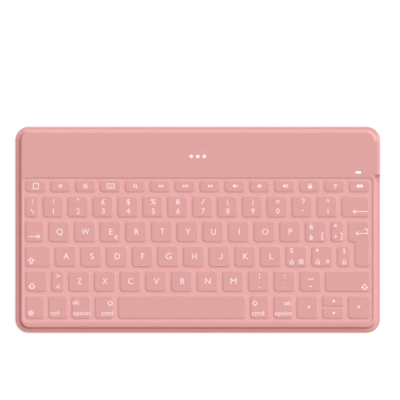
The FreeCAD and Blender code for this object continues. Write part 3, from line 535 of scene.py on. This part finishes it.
shell = Build()
rings = []
# tone by ring: painted shade on the lip's rounded outer edge, painted light on the inner lip and the flank's foot
LIP_LIGHT_AND_SHADE_TONE = [-1.0] * 7 + [-0.5, 0.1, 0.6, 0.9, 0.7, 0.2] + [0.0] * 6
# painted shade on the flank, by ring
FLANK_SHADE_WEIGHT = [0.0] * 11 + [0.25] + [1.0] * 5 + [0.6, 0.0]
# painted shadow at the front left corner, by ring
CORNER_SHADOW_WEIGHT = [0.0] * 12 + [0.25, 0.85, 1.0, 1.0, 1.0, 0.75, 0.1]
SETBACK = 0.17  # the front edge is pressed in a little below its crest
for k, ((d0, z0), (d1, z1)) in enumerate(zip(RIM, PORT)):
    pts = []
    for x, y, nx, ny, t in samples:
        d, z = d0 + (d1 - d0) * t + SETBACK * max(0.0, ny) * min(1.0, (18 - k) / 6), z0 + (z1 - z0) * t
        pts.append((x + nx * d, y + ny * d, z))
    rings.append(shell.add(pts))
    for i, smp in zip(rings[-1], samples):
        painted_corner = ease((smp[2] + smp[3] - 1.0) / 0.38)  # front left corner, where shadow is painted into the flank and light into the inner lip
        # more painted light is added on the inner lip at the front left corner
        shell.tone[i] = LIP_LIGHT_AND_SHADE_TONE[k] * (1.0 - smp[4]) + (0.5 * painted_corner if 8 <= k <= 10 else 0.0)
        # painted shade on the flank, strongest on the left and front sides, which face away from the lamp, and painted
        # shadow at the front left corner
        shell.deep[i] = FLANK_SHADE_WEIGHT[k] * (1.0 - smp[4]) * max(0.35, min(1.0, 0.7 + 0.3 * (smp[2] + smp[3]))) + CORNER_SHADOW_WEIGHT[k] * painted_corner
full = [i for i, s in enumerate(samples) if s[0] == HALF_W and PORT_FULL - 1e-6 <= s[1] <= PORT_TOP + 1e-6]
for k, (lo, hi) in enumerate(zip(rings, rings[1:])):
    n = len(lo)
    for i in range(n):
        j = (i + 1) % n
        if k == 1 and i in full and j in full:
            continue  # the flat port wall is filled below, round its two openings
        shell.f.append((lo[i], lo[j], hi[j], hi[i]))


def wall_hole(y0, y1, z0, z1, r, n=5):
    """Opening in the port wall: a loop at the face, then a rolled-in edge as deep as the skin."""
    loops = []
    for depth, grow in ((0.0, 0.12), (0.04, 0.04), (0.12, 0.0), (0.5, 0.0)):
        cs = box_corners(y0 - grow, y1 + grow, z0 - grow, z1 + grow, r + grow)
        loops.append(shell.add([(HALF_W - depth, p[0], p[1]) for p in ring(cs, 0.0, 0.0, n)]))
    for a, c in zip(loops, loops[1:]):
        shell.strip(a, c)
    return loops[0]


us_lo, us_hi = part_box("usb_socket_shell")
uy, uz = (us_lo.y + us_hi.y) / 2 / MM, (us_lo.z + us_hi.z) / 2 / MM
sw_lo, sw_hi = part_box("power_switch_body")
sy = (sw_lo.y + sw_hi.y) / 2 / MM
outline = [rings[1][i] for i in full] + [rings[2][i] for i in reversed(full)]
shell.flat([outline, wall_hole(uy - 3.95, uy + 3.95, uz - 1.38, uz + 1.38, 0.8), wall_hole(sy - 2.45, sy + 2.45, uz - 0.85, uz + 0.85, 0.8)], plane="yz")

WELL_PROFILE = [(-0.14, 0.0, 1.0), (-0.01, 0.03, 0.9), (0.14, 0.11, 0.6), (0.31, 0.23, 0.3), (0.49, 0.36, 0.1), (0.66, 0.51, 0.0), (0.83, 0.66, 0.0),
                (0.98, 0.79, 0.0), (1.12, 0.89, 0.0), (1.26, 0.96, 0.0), (1.38, 1.0, 0.0)]
wells = box_corners(*WELL, 2.0)
well_loops = []
for d, h, t in WELL_PROFILE:
    pts = [(x, min(y, WELL[3]) + max(0.0, y - WELL[3]) * 0.75, z) for x, y, z in ring(wells, -d, WEB + h * (TOP - WEB), 8)]
    well_loops.append(shell.add(pts, t))
for lo, hi in zip(well_loops, well_loops[1:]):
    shell.strip(hi, lo)
hole_loops = [shell.add(pts, 1.0) for pts in web_holes]
shell.flat([well_loops[0]] + hole_loops)
ln_lo, ln_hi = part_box("status_light_lens")
lens = box_corners(ln_lo.x / MM - 0.05, ln_hi.x / MM + 0.05, ln_lo.y / MM - 0.05, ln_hi.y / MM + 0.05, 0.84)
l0 = shell.add(ring(lens, -0.16, TOP, 8))
l1 = shell.add(ring(lens, -0.04, TOP - 0.05, 8))
l2 = shell.add(ring(lens, 0.0, TOP - 0.5, 8))
shell.strip(l0, l1)
shell.strip(l1, l2)
shell.flat([rings[-1], well_loops[-1], l0])
skin = shell.object("formed_skin", M["skin"], slot="skin_fabric")
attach(skin, ROOT)
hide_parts("top_skin")

# ------------------------------------------------------------------ flat laminated back with a rolled edge
b = Build()
hull = box_corners(-HALF_W, HALF_W, -HALF_D + SETBACK, HALF_D, CORNER)
loops = [b.add(ring(hull, d, z, 16)) for d, z in ((0.08, 0.45), (0.0, 0.36), (0.03, 0.18), (0.09, 0.08), (0.18, 0.02), (0.30, 0.0))]
for lo, hi in zip(loops, loops[1:]):
    b.strip(hi, lo)
b.flat([loops[-1]], up=False)
b.flat([loops[0]])
back = b.object("laminated_back", M["back"], slot="skin_fabric_back")
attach(back, ROOT)
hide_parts("bottom_skin")

# ------------------------------------------------------------------ the key grid, lowered between the half-height keys and at the step of the enter key to leave the skin room
up, down = (next(rect for name, cs, rect in KEYS if name == key) for key in ("arrow_up_key", "arrow_down_key"))
bar_y = (up[2] + down[3]) / 2
grid_src = NODES["key_grid_frame"].data
grid_top = max(v.co.z for v in grid_src.vertices)
grid_pts = []
for v in grid_src.vertices:
    x, y = v.co.x / MM, v.co.y / MM
    low = v.co.z > grid_top - 0.05 * MM and ((up[0] < x < up[1] and abs(y - bar_y) < 1.35) or (abs(x - NECK_X) < 1.5 and abs(y - STEP_Y) < 1.5))
    grid_pts.append((v.co.x, v.co.y, v.co.z - (0.22 * MM if low else 0.0)))
grid_mesh = bpy.data.meshes.new("key_grid_low_bar")
grid_mesh.from_pydata(grid_pts, [], [tuple(f.vertices) for f in grid_src.polygons])
grid_mesh.materials.append(M["frame"])
grid = bpy.data.objects.new("key_grid_low_bar", grid_mesh)
bpy.context.scene.collection.objects.link(grid)
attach(grid, ROOT)
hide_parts("key_grid_frame")

# ------------------------------------------------------------------ rubber domes, gathered by the key above them
d_lo, d_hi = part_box("rubber_domes")
Z0 = d_lo.z / MM
H = (d_hi.z - d_lo.z) / MM
LATHE = [(1.85, 0.0), (2.95, 0.0), (3.0, 0.05), (3.0, 0.18), (2.9, 0.25), (2.62, 0.32), (2.42, 0.5), (2.02, 1.25), (1.84, 1.52), (1.7, H - 0.12), (1.56, H), (1.0, H),
         (0.9, H - 0.06), (0.0, H - 0.06)]
UNDER = [(0.0, H - 0.9), (0.75, H - 0.9), (0.85, H - 0.8), (0.95, H - 0.42), (1.3, H - 0.42), (1.5, H - 0.6), (2.1, 0.45), (2.0, 0.2)]
dome_sets = {}
for x0, x1, y0, y1 in islands(NODES["rubber_domes"]):
    dome_sets.setdefault(key_at((x0 + x1) / 2, (y0 + y1) / 2), []).append(((x0 + x1) / 2, (y0 + y1) / 2))
SEG = 20
for name, spots in dome_sets.items():
    b = Build()
    for cx, cy in spots:
        prof = LATHE + UNDER
        loops = []
        for r, z in prof:
            if r == 0.0:
                loops.append(b.add([(cx, cy, Z0 + z)]))
            else:
                loops.append(b.add([(cx + r * math.cos(2 * math.pi * k / SEG), cy + r * math.sin(2 * math.pi * k / SEG), Z0 + z) for k in range(SEG)]))
        for a, c in zip(loops, loops[1:] + loops[:1]):
            if len(a) == 1 and len(c) == 1:
                continue
            for k in range(SEG):
                j = (k + 1) % SEG
                if len(c) == 1:
                    b.f.append((a[k], a[j], c[0]))
                elif len(a) == 1:
                    b.f.append((a[0], c[j], c[k]))
                else:
                    b.f.append((a[k], a[j], c[j], c[k]))
    ob = b.object("domes_under_" + name, M["rubber"], slot="dome_rubber")
    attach(ob, ROOT)
    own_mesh(ob)
    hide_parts("rubber_domes")

# ------------------------------------------------------------------ printed legends: thin flat inlays on the keys' tops
LIFT, SINK = 0.03, 0.03


def above(b, z):
    """Inlays that cross lie a few micrometres apart."""
    b.turn = (b.turn + 1) % 7
    return z + 0.004 * b.turn


def slab(b, pts, z):
    """Filled outline with short side walls."""
    z = above(b, z)
    area = sum(p[0] * q[1] - q[0] * p[1] for p, q in zip(pts, pts[1:] + pts[:1]))
    if area < 0:
        pts = pts[::-1]
    hi = b.add([(x, y, z + LIFT) for x, y in pts])
    lo = b.add([(x, y, z - SINK) for x, y in pts])
    b.strip(lo, hi)
    b.f.append(tuple(hi))


def band(b, pts, w, z, closed=False):
    """Line of even width through the points, mitred where it turns."""
    z = above(b, z)
    n, sides = len(pts), []
    for i, p in enumerate(pts):
        p = Vector(p)
        a = Vector(pts[i - 1]) if (i or closed) else None
        c = Vector(pts[(i + 1) % n]) if (i < n - 1 or closed) else None
        u = (p - a).normalized() if a is not None else (c - p).normalized()
        v = (c - p).normalized() if c is not None else u
        nu, nv = Vector((-u.y, u.x)), Vector((-v.y, v.x))
        m = nu + nv
        m = m / max(0.35, m.dot(nu))
        sides.append((p + m * w / 2, p - m * w / 2))
    left_hi = b.add([(s[0].x, s[0].y, z + LIFT) for s in sides])
    right_hi = b.add([(s[1].x, s[1].y, z + LIFT) for s in sides])
    left_lo = b.add([(s[0].x, s[0].y, z - SINK) for s in sides])
    right_lo = b.add([(s[1].x, s[1].y, z - SINK) for s in sides])
    b.strip(right_hi, left_hi, closed)
    b.strip(right_lo, right_hi, closed)
    b.strip(left_hi, left_lo, closed)
    if not closed:
        b.f.append((right_lo[0], right_hi[0], left_hi[0], left_lo[0])[::-1])
        b.f.append((right_lo[-1], right_hi[-1], left_hi[-1], left_lo[-1]))


def circle_points(x, y, r, n=18, a0=0.0, a1=360.0):
    full = abs(a1 - a0) >= 359.9
    k = n if full else n + 1
    return [(x + r * math.cos(math.radians(a0 + (a1 - a0) * i / n)), y + r * math.sin(math.radians(a0 + (a1 - a0) * i / n))) for i in range(k)]


GLYPHS = {}
HEAVY = "@#;:,.ì%&£^=[]éèòùç"


def glyph(s):
    """Outline letters of the built-in face at size 1, as points and faces."""
    if s not in GLYPHS:
        c = bpy.data.curves.new("letter", "FONT")
        c.body, c.resolution_u = s, 3
        c.offset = 0.008 if s in HEAVY else 0.0
        o = bpy.data.objects.new("letter", c)
        scene.collection.objects.link(o)
        bpy.context.view_layer.update()
        m = o.evaluated_get(bpy.context.evaluated_depsgraph_get()).to_mesh()
        pts = [(v.co.x, v.co.y) for v in m.vertices]
        faces = [tuple(p.vertices) for p in m.polygons]
        count = {}
        for f in faces:
            for i, j in zip(f, f[1:] + f[:1]):
                count[(i, j)] = 1
        rim = [e for e in count if (e[1], e[0]) not in count]
        GLYPHS[s] = (pts, faces, rim)
        bpy.data.objects.remove(o)
        bpy.data.curves.remove(c)
    return GLYPHS[s]


def letters(b, s, x, y, em, z, how="cap", wide=1.0):
    """Text of a given em size, centred at x; y is the middle of the capital height, or of the text's own box."""
    pts, faces, rim = glyph(s)
    xs, ys = [p[0] for p in pts], [p[1] for p in pts]
    ox = x - (min(xs) + max(xs)) / 2 * em * wide
    oy = y - (0.341 * em if how == "cap" else (min(ys) + max(ys)) / 2 * em)
    area = sum(pts[f[i]][0] * pts[f[(i + 1) % len(f)]][1] - pts[f[(i + 1) % len(f)]][0] * pts[f[i]][1] for f in faces[:1] for i in range(len(f)))
    turn = area < 0
    hi = b.add([(ox + p[0] * em * wide, oy + p[1] * em, z + LIFT) for p in pts])
    lo = b.add([(ox + p[0] * em * wide, oy + p[1] * em, z - SINK) for p in pts])
    for f in faces:
        g = tuple(hi[i] for i in f)
        b.f.append(g[::-1] if turn else g)
    for i, j in rim:
        q = (lo[i], lo[j], hi[j], hi[i])
        b.f.append(q[::-1] if turn else q)


def icon(b, kind, x, y, z):
    """Generic key symbols, in millimetres about (x, y)."""
    P = lambda *pts: [(x + px, y + py) for px, py in pts]
    L = 0.5
    if kind == "frame":
        band(b, P((-1.4, -1.78), (1.4, -1.78), (1.73, -1.45), (1.73, 1.45), (1.4, 1.78), (-1.4, 1.78), (-1.73, 1.45), (-1.73, -1.45)), 0.55, z, True)
    elif kind == "ring":
        band(b, circle_points(x, y, 0.85), 0.62, z, True)
    elif kind == "sun":
        band(b, circle_points(x, y, 0.82), 0.52, z, True)
        for k in range(8):
            a = math.radians(45 * k)
            band(b, P((1.35 * math.cos(a), 1.35 * math.sin(a)), (2.1 * math.cos(a), 2.1 * math.sin(a))), 0.42, z)
    elif kind == "board":
        band(b, P((-2.45, -1.5), (2.45, -1.5), (2.45, 1.5), (-2.45, 1.5)), 0.42, z, True)
        for row in (0.62, -0.12):
            for k in range(5):
                slab(b, P((-1.85 + k * 0.82, row - 0.18), (-1.45 + k * 0.82, row - 0.18), (-1.45 + k * 0.82, row + 0.2), (-1.85 + k * 0.82, row + 0.2)), z)
        band(b, P((-1.1, -0.85), (1.1, -0.85)), 0.36, z)
    elif kind == "lens":
        band(b, circle_points(x - 0.3, y + 0.35, 0.98), 0.45, z, True)
        band(b, P((0.42, -0.38), (1.3, -1.28)), 0.5, z)
    elif kind == "rewind":
        slab(b, P((-1.75, 0.0), (-0.05, -0.92), (-0.05, 0.92)), z)
        slab(b, P((-0.05, 0.0), (1.65, -0.92), (1.65, 0.92)), z)
    elif kind == "forward":
        slab(b, P((1.75, 0.0), (0.05, 0.92), (0.05, -0.92)), z)
        slab(b, P((0.05, 0.0), (-1.65, 0.92), (-1.65, -0.92)), z)
    elif kind == "play":
        slab(b, P((0.15, 0.0), (-1.6, 0.92), (-1.6, -0.92)), z)
        slab(b, P((0.35, -0.92), (0.8, -0.92), (0.8, 0.92), (0.35, 0.92)), z)
        slab(b, P((1.2, -0.92), (1.65, -0.92), (1.65, 0.92), (1.2, 0.92)), z)
    elif kind.startswith("speaker"):
        slab(b, P((-1.7, -0.52), (-1.13, -0.52), (0.11, -1.42), (0.11, 1.42), (-1.13, 0.52), (-1.7, 0.52)), z)
        if kind == "speaker0":
            band(b, P((0.6, -0.42), (1.44, 0.42)), 0.36, z)
            band(b, P((0.6, 0.42), (1.44, -0.42)), 0.36, z)
        else:
            band(b, circle_points(x - 0.1, y, 1.0, 8, -42, 42), 0.44, z)
        if kind == "speaker2":
            band(b, circle_points(x - 0.1, y, 1.74, 8, -45, 45), 0.44, z)
    elif kind == "padlock":
        slab(b, P((-1.35, -1.6), (1.35, -1.6), (1.35, 0.3), (-1.35, 0.3)), z)
        band(b, [(x - 0.8, y + 0.25)] + circle_points(x, y + 0.75, 0.8, 10, 180, 0) + [(x + 0.8, y + 0.25)], 0.42, z)
    elif kind == "waves":
        slab(b, circle_points(x, y - 1.3, 0.44, 12), z)
        band(b, circle_points(x, y - 1.3, 1.2, 8, 50, 130), 0.52, z)
        band(b, circle_points(x, y - 1.3, 2.15, 10, 54, 126), 0.52, z)
    elif kind == "pill":
        slab(b, circle_points(x + 1.25, y, 1.02, 12, -90, 90) + circle_points(x - 1.25, y, 1.02, 12, 90, 270), z)
    elif kind == "tab":
        band(b, P((-3.9, 0.0), (2.3, 0.0)), L, z)
        band(b, P((1.45, 1.15), (2.65, 0.0), (1.45, -1.15)), L, z)
        band(b, P((3.3, 1.3), (3.3, -1.3)), L, z)
    elif kind == "back":
        band(b, P((-4.6, 0.0), (4.9, 0.0)), L, z)
        band(b, P((-3.35, 1.35), (-4.9, 0.0), (-3.35, -1.35)), L, z)
    elif kind == "enter":
        band(b, P((-3.8, -1.08), (3.62, -1.08), (3.62, 1.7), (1.35, 1.7)), L, z)
        band(b, P((-2.4, 0.32), (-4.0, -1.08), (-2.4, -2.48)), L, z)
    elif kind == "shift":
        band(b, P((0.0, 2.1), (2.0, -0.15), (0.85, -0.15), (0.85, -1.3), (-0.85, -1.3), (-0.85, -0.15), (-2.0, -0.15)), 0.55, z, True)
    elif kind == "caps":
        band(b, P((0.0, 2.0), (1.7, 0.15), (0.7, 0.15), (0.7, -0.85), (-0.7, -0.85), (-0.7, 0.15), (-1.7, 0.15)), 0.5, z, True)
        band(b, P((-0.95, -1.75), (0.95, -1.75)), 0.55, z)
    elif kind == "globe":
        band(b, circle_points(x, y, 1.5), 0.42, z, True)
        band(b, P((-1.5, 0.0), (1.5, 0.0)), 0.34, z)
        band(b, P((0.0, -1.5), (0.0, 1.5)), 0.34, z)
        band(b, [(x + 0.72 * math.cos(t * math.pi / 9), y + 1.5 * math.sin(t * math.pi / 9)) for t in range(18)], 0.3, z, True)
    elif kind == "diamond":
        band(b, P((0.0, -1.6), (1.6, 0.0), (0.0, 1.6), (-1.6, 0.0)), 0.5, z, True)
    elif kind == "hook":
        band(b, P((0.85, 1.95), (0.85, -0.95)) + circle_points(x + 0.0, y - 0.95, 0.85, 10, 0, -165), 0.52, z)
    elif kind == "tee":
        band(b, P((-1.28, 1.7), (1.28, 1.7)), 0.5, z)
        band(b, P((0.0, 1.7), (0.0, -1.95)), 0.52, z)
    elif kind == "query":
        band(b, circle_points(x, y + 0.72, 0.98, 12, 170, -55) + P((0.0, -0.5), (0.0, -0.85)), 0.5, z)
        slab(b, circle_points(x, y - 1.55, 0.34, 12), z)
    elif kind == "tick":
        band(b, P((0.0, 0.6), (0.0, -0.35)), 0.62, z)
    elif kind == "euro":
        band(b, circle_points(x + 0.25, y, 1.12, 14, 48, 312), 0.42, z)
        band(b, P((-1.35, 0.3), (0.45, 0.3)), 0.34, z)
        band(b, P((-1.35, -0.3), (0.45, -0.3)), 0.34, z)
    elif kind == "degree":
        band(b, circle_points(x, y, 0.66, 16), 0.5, z, True)
    elif kind == "star":
        for k in range(3):
            a = math.radians(90 + 60 * k)
            band(b, P((0.95 * math.cos(a), 0.95 * math.sin(a)), (-0.95 * math.cos(a), -0.95 * math.sin(a))), 0.5, z)
    elif kind == "small a":
        band(b, circle_points(x - 0.12, y, 0.78, 18), 0.36, z, True)
        band(b, P((0.78, 0.98), (0.78, -0.98)), 0.36, z)
    elif kind == "grave a":
        band(b, circle_points(x - 0.12, y - 0.55, 1.02, 20), 0.46, z, True)
        band(b, P((1.05, 0.7), (1.05, -1.8)), 0.46, z)
        band(b, P((-0.55, 1.95), (0.3, 1.2)), 0.42, z)
    elif kind in ("left", "right", "up", "down"):
        a = {"right": 0, "up": 90, "left": 180, "down": 270}[kind]
        r = lambda px, py: (x + px * math.cos(math.radians(a)) - py * math.sin(math.radians(a)), y + px * math.sin(math.radians(a)) + py * math.cos(math.radians(a)))
        slab(b, [r(1.1, 0.0), r(-0.85, 1.05), r(-0.85, -1.05)], z)


# what is printed where: text with its em size and how it is centred, or a symbol; a line is its two ends and width
PRINTS = [
    ("icon", 'frame', -107.30, 28.99), ("icon", 'ring', -90.91, 28.99), ("icon", 'sun', -74.40, 28.99), ("icon", 'board', -57.68, 28.99),
    ("icon", 'lens', -41.30, 28.99), ("icon", 'rewind', -24.65, 28.99), ("icon", 'play', -8.13, 28.99), ("icon", 'forward', 8.45, 28.99),
    ("icon", 'speaker0', 24.90, 28.99), ("icon", 'speaker1', 41.35, 28.99), ("icon", 'speaker2', 58.07, 28.99), ("icon", 'padlock', 74.45, 28.99),
    ("icon", 'waves', 91.16, 28.99), ("icon", 'pill', 107.41, 28.99), ("cap", '!', -95.62, 18.67, 5.05), ("cap", '1', -95.62, 12.42, 5.12),
    ("cap", '"', -79.30, 18.67, 5.80), ("cap", '2', -79.30, 12.42, 5.12), ("cap", '£', -62.59, 18.67, 5.05), ("cap", '3', -62.59, 12.42, 5.12),
    ("cap", '$', -46.01, 18.67, 5.05), ("cap", '4', -46.01, 12.42, 5.12), ("cap", '%', -29.49, 18.67, 5.05), ("cap", '5', -29.49, 12.42, 5.12),
    ("cap", '&', -13.04, 18.67, 5.05), ("cap", '6', -13.04, 12.42, 5.12), ("cap", '7', 3.61, 12.42, 5.12), ("cap", '(', 19.93, 18.67, 4.39),
    ("cap", '8', 19.93, 12.42, 5.12), ("cap", ')', 36.51, 18.67, 4.39), ("cap", '9', 36.51, 12.42, 5.12), ("cap", '=', 53.09, 18.67, 5.05),
    ("cap", '0', 53.09, 12.42, 5.12), ("icon", 'query', 69.67, 18.85), ("cap", '^', 86.19, 18.67, 5.05), ("cap", 'ì', 86.19, 12.42, 5.12),
    ("box", '|', -109.62, 18.67, 4.39), ("line", -110.81, 13.95, -108.42, 10.68, 0.53), ("line", 2.41, 16.88, 4.47, 20.47, 0.53), ("icon", 'tick', 69.67, 12.75),
    ("icon", 'back', 107.95, 12.08), ("cap", 'Q', -91.58, -1.23, 5.72), ("cap", 'W', -74.53, -1.23, 5.72, 0.86), ("cap", 'E', -57.52, -1.23, 5.72),
    ("cap", 'R', -40.36, -1.23, 5.72), ("icon", 'tee', -23.42, -1.23), ("cap", 'Y', -6.51, -1.23, 5.72, 0.90), ("cap", 'U', 10.44, -1.23, 5.72, 0.94),
    ("cap", 'I', 27.55, -1.23, 5.72), ("cap", 'O', 44.73, -1.23, 5.72), ("cap", 'P', 61.45, -1.23, 5.72), ("cap", 'A', -87.20, -17.50, 5.72),
    ("cap", 'S', -70.11, -17.50, 5.72, 1.10), ("cap", 'D', -53.23, -17.50, 5.72), ("cap", 'F', -36.39, -17.50, 5.72), ("cap", 'G', -19.34, -17.50, 5.72, 1.15),
    ("cap", 'H', -2.30, -17.50, 5.72, 0.92), ("icon", 'hook', 15.12, -17.50), ("cap", 'K', 31.80, -17.50, 5.72), ("cap", 'L', 48.85, -17.50, 5.72),
    ("cap", 'Z', -78.34, -34.01, 5.72, 0.80), ("cap", 'X', -61.46, -34.01, 5.72, 0.80), ("cap", 'C', -44.48, -34.01, 5.72), ("cap", 'V', -27.37, -34.01, 5.72),
    ("cap", 'B', -10.22, -34.01, 5.72), ("cap", 'N', 6.73, -34.01, 5.72), ("cap", 'M', 23.71, -34.01, 5.72, 1.12), ("icon", 'euro', -54.03, -5.03),
    ("icon", 'tab', -108.29, -4.43), ("icon", 'enter', 108.94, -1.30), ("box", 'é', 75.18, 2.16, 5.44), ("box", 'è', 75.18, -4.76, 5.44),
    ("box", '[', 82.67, -4.21, 5.10), ("icon", 'star', 91.36, 2.76), ("box", '+', 91.36, -4.43, 4.99), ("box", ']', 95.14, -4.21, 5.10),
    ("icon", 'caps', -110.35, -20.60), ("icon", 'shift', -109.88, -37.58), ("icon", 'shift', 110.60, -38.18), ("box", 'ç', 62.31, -13.81, 5.44),
    ("box", 'ò', 62.31, -21.20, 5.44), ("box", '@', 68.55, -21.00, 3.72), ("icon", 'degree', 79.20, -13.55), ("icon", 'grave a', 79.49, -21.14),
    ("box", '#', 86.12, -21.00, 3.72), ("box", '§', 97.07, -14.15, 4.39), ("box", 'ù', 97.07, -21.14, 5.44), ("box", '>', -92.70, -30.66, 5.45),
    ("box", '<', -92.70, -37.58, 5.45), ("box", ';', 40.89, -30.86, 5.45), ("box", ',', 40.89, -38.38, 5.45), ("box", ':', 57.87, -30.99, 5.45),
    ("box", '.', 57.87, -38.38, 5.45), ("line", 73.06, -32.65, 76.70, -32.65, 0.53), ("line", 73.85, -37.51, 75.64, -37.51, 0.60), ("icon", 'globe', -110.55, -55.15),
    ("box", 'ctrl', -94.83, -55.15, 4.39), ("icon", 'small a', -82.05, -48.45), ("box", 'lt', -79.55, -48.10, 4.39), ("box", 'option', -77.12, -55.75, 4.39), ("icon", 'diamond', -58.01, -48.70),
    ("box", 'cmd', -59.87, -55.15, 4.72), ("icon", 'diamond', 37.83, -48.70), ("box", 'cmd', 39.96, -55.15, 4.92), ("icon", 'small a', 58.25, -48.95), ("box", 'lt', 60.75, -48.60, 4.39),
    ("box", 'option', 56.54, -55.75, 4.26), ("icon", 'left', 73.39, -51.10), ("icon", 'up', 90.17, -47.03), ("icon", 'down', 90.17, -55.35),
    ("icon", 'right', 106.95, -51.10),
]
marks = {}
for item in PRINTS:
    kind = item[0]
    if kind == "line":
        x, y = (item[1] + item[3]) / 2, (item[2] + item[4]) / 2
    else:
        x, y = item[2], item[3]
    b = marks.setdefault(key_at(x, y), Build())
    if kind == "line":
        band(b, [(item[1], item[2]), (item[3], item[4])], item[5], KEY_TOP)
    elif kind == "icon":
        icon(b, item[1], x, y, KEY_TOP)
    else:
        letters(b, item[1], x, y, item[4], KEY_TOP, kind, *item[5:])
for name, b in marks.items():
    ob = b.object("legend_" + name, M["print"], smooth=False, slot="key_cap_plastic")
    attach(ob, BODY_OF[name])

# three plain dots on the bay panel
b = Build()
for k in (-1, 0, 1):
    slab(b, circle_points(k * 4.3, 48.6, 1.2, 28), TOP)
dots = b.object("panel_dots", M["white"], smooth=False, slot="skin_fabric")
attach(dots, ROOT)

# low ridges that the forefingers feel for, under the skin of two home keys
for name, hx in (("key_f", -36.39), ("key_j", 14.62)):
    b = Build()
    y, half = -23.85, 3.5
    prof = [(-0.62, 0.0), (-0.5, 0.02), (-0.36, 0.09), (-0.2, 0.2), (0.0, 0.25), (0.2, 0.2), (0.36, 0.09), (0.5, 0.02), (0.62, 0.0)]
    loops = []
    for t in (-1.0, -0.97, -0.9, -0.8, 0.8, 0.9, 0.97, 1.0):
        k = math.sqrt(max(0.0, 1 - (max(0.0, abs(t) - 0.8) / 0.2) ** 2))
        loops.append(b.add([(hx + t * half, y + d * (0.25 + 0.75 * k), KEY_TOP - 0.012 + h * k) for d, h in prof]))
    for a, c in zip(loops, loops[1:]):
        b.strip(a[::-1], c[::-1], closed=False)
    ob = b.object("ridge_on_" + name, M["skin"], slot="skin_fabric")
    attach(ob, BODY_OF[name])


# ------------------------------------------------------------------ floor, light and camera
me = bpy.data.meshes.new("floor")
S = 6.0
me.from_pydata([(-S, -S, -0.0001), (S, -S, -0.0001), (S, S, -0.0001), (-S, S, -0.0001)], [], [(0, 1, 2, 3)])
floor = bpy.data.objects.new("floor", me)
scene.collection.objects.link(floor)
fm, nt, sh = new_material("pale_floor")
sh.inputs["Base Color"].default_value = (0.25, 0.25, 0.25, 1.0)
sh.inputs["Roughness"].default_value = 0.9
sh.inputs["Specular IOR Level"].default_value = 0.1
sh.inputs["Emission Color"].default_value = (1.0, 1.0, 1.0, 1.0)
sh.inputs["Emission Strength"].default_value = 0.77
me.materials.append(fm)
floor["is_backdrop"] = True

world = bpy.data.worlds.new("studio")
world.use_nodes = True
scene.world = world
wt = world.node_tree
sky = wt.nodes["Background"]
height = node(wt, "ShaderNodeSeparateXYZ")
wt.links.new(node(wt, "ShaderNodeTexCoord").outputs["Generated"], height.inputs[0])
low = ranged(wt, height.outputs["Z"], 1.0, 0.0, 0.02, 0.045)
total = node(wt, "ShaderNodeMath", operation="ADD")
wt.links.new(ranged(wt, height.outputs["Z"], 0.30, 1.15, 0.0, 1.0), total.inputs[0])
wt.links.new(ranged(wt, height.outputs["Z"], 0.75, 0.0, 0.02, 0.045), total.inputs[1])
wt.links.new(total.outputs[0], sky.inputs[1])
wt.links.new(mixed(wt, low, (0.665, 0.42, 0.42), (1.0, 1.0, 1.0)), sky.inputs[0])

sun = bpy.data.lights.new("soft_key", "SUN")
sun.energy = 4.11
sun.angle = math.radians(100)
sun.color = (0.75, 1.0, 1.0)
lamp = bpy.data.objects.new("soft_key", sun)
el, az = math.radians(34), math.radians(45)
lamp.rotation_mode = "QUATERNION"
lamp.rotation_quaternion = Vector((math.cos(el) * math.cos(az), math.cos(el) * math.sin(az), math.sin(el))).to_track_quat("Z", "Y")
scene.collection.objects.link(lamp)

cam = bpy.data.cameras.new("camera")
cam.lens = 400.0
cam.sensor_width = 36.0
cam.clip_start, cam.clip_end = 0.1, 20.0
eye = bpy.data.objects.new("camera", cam)
FRAME_WIDTH = 0.2656
eye.location = (0.00149, 0.01974, FRAME_WIDTH / 2 / (18.0 / 400.0))
eye.rotation_euler = (0.0, 0.0, 0.0)
scene.collection.objects.link(eye)
scene.camera = eye
scene.view_settings.view_transform = "Standard"
scene.view_settings.look = "None"
scene.view_settings.exposure = 0.0
scene.view_settings.gamma = 1.0

bpy.context.view_layer.update()
lo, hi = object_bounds()
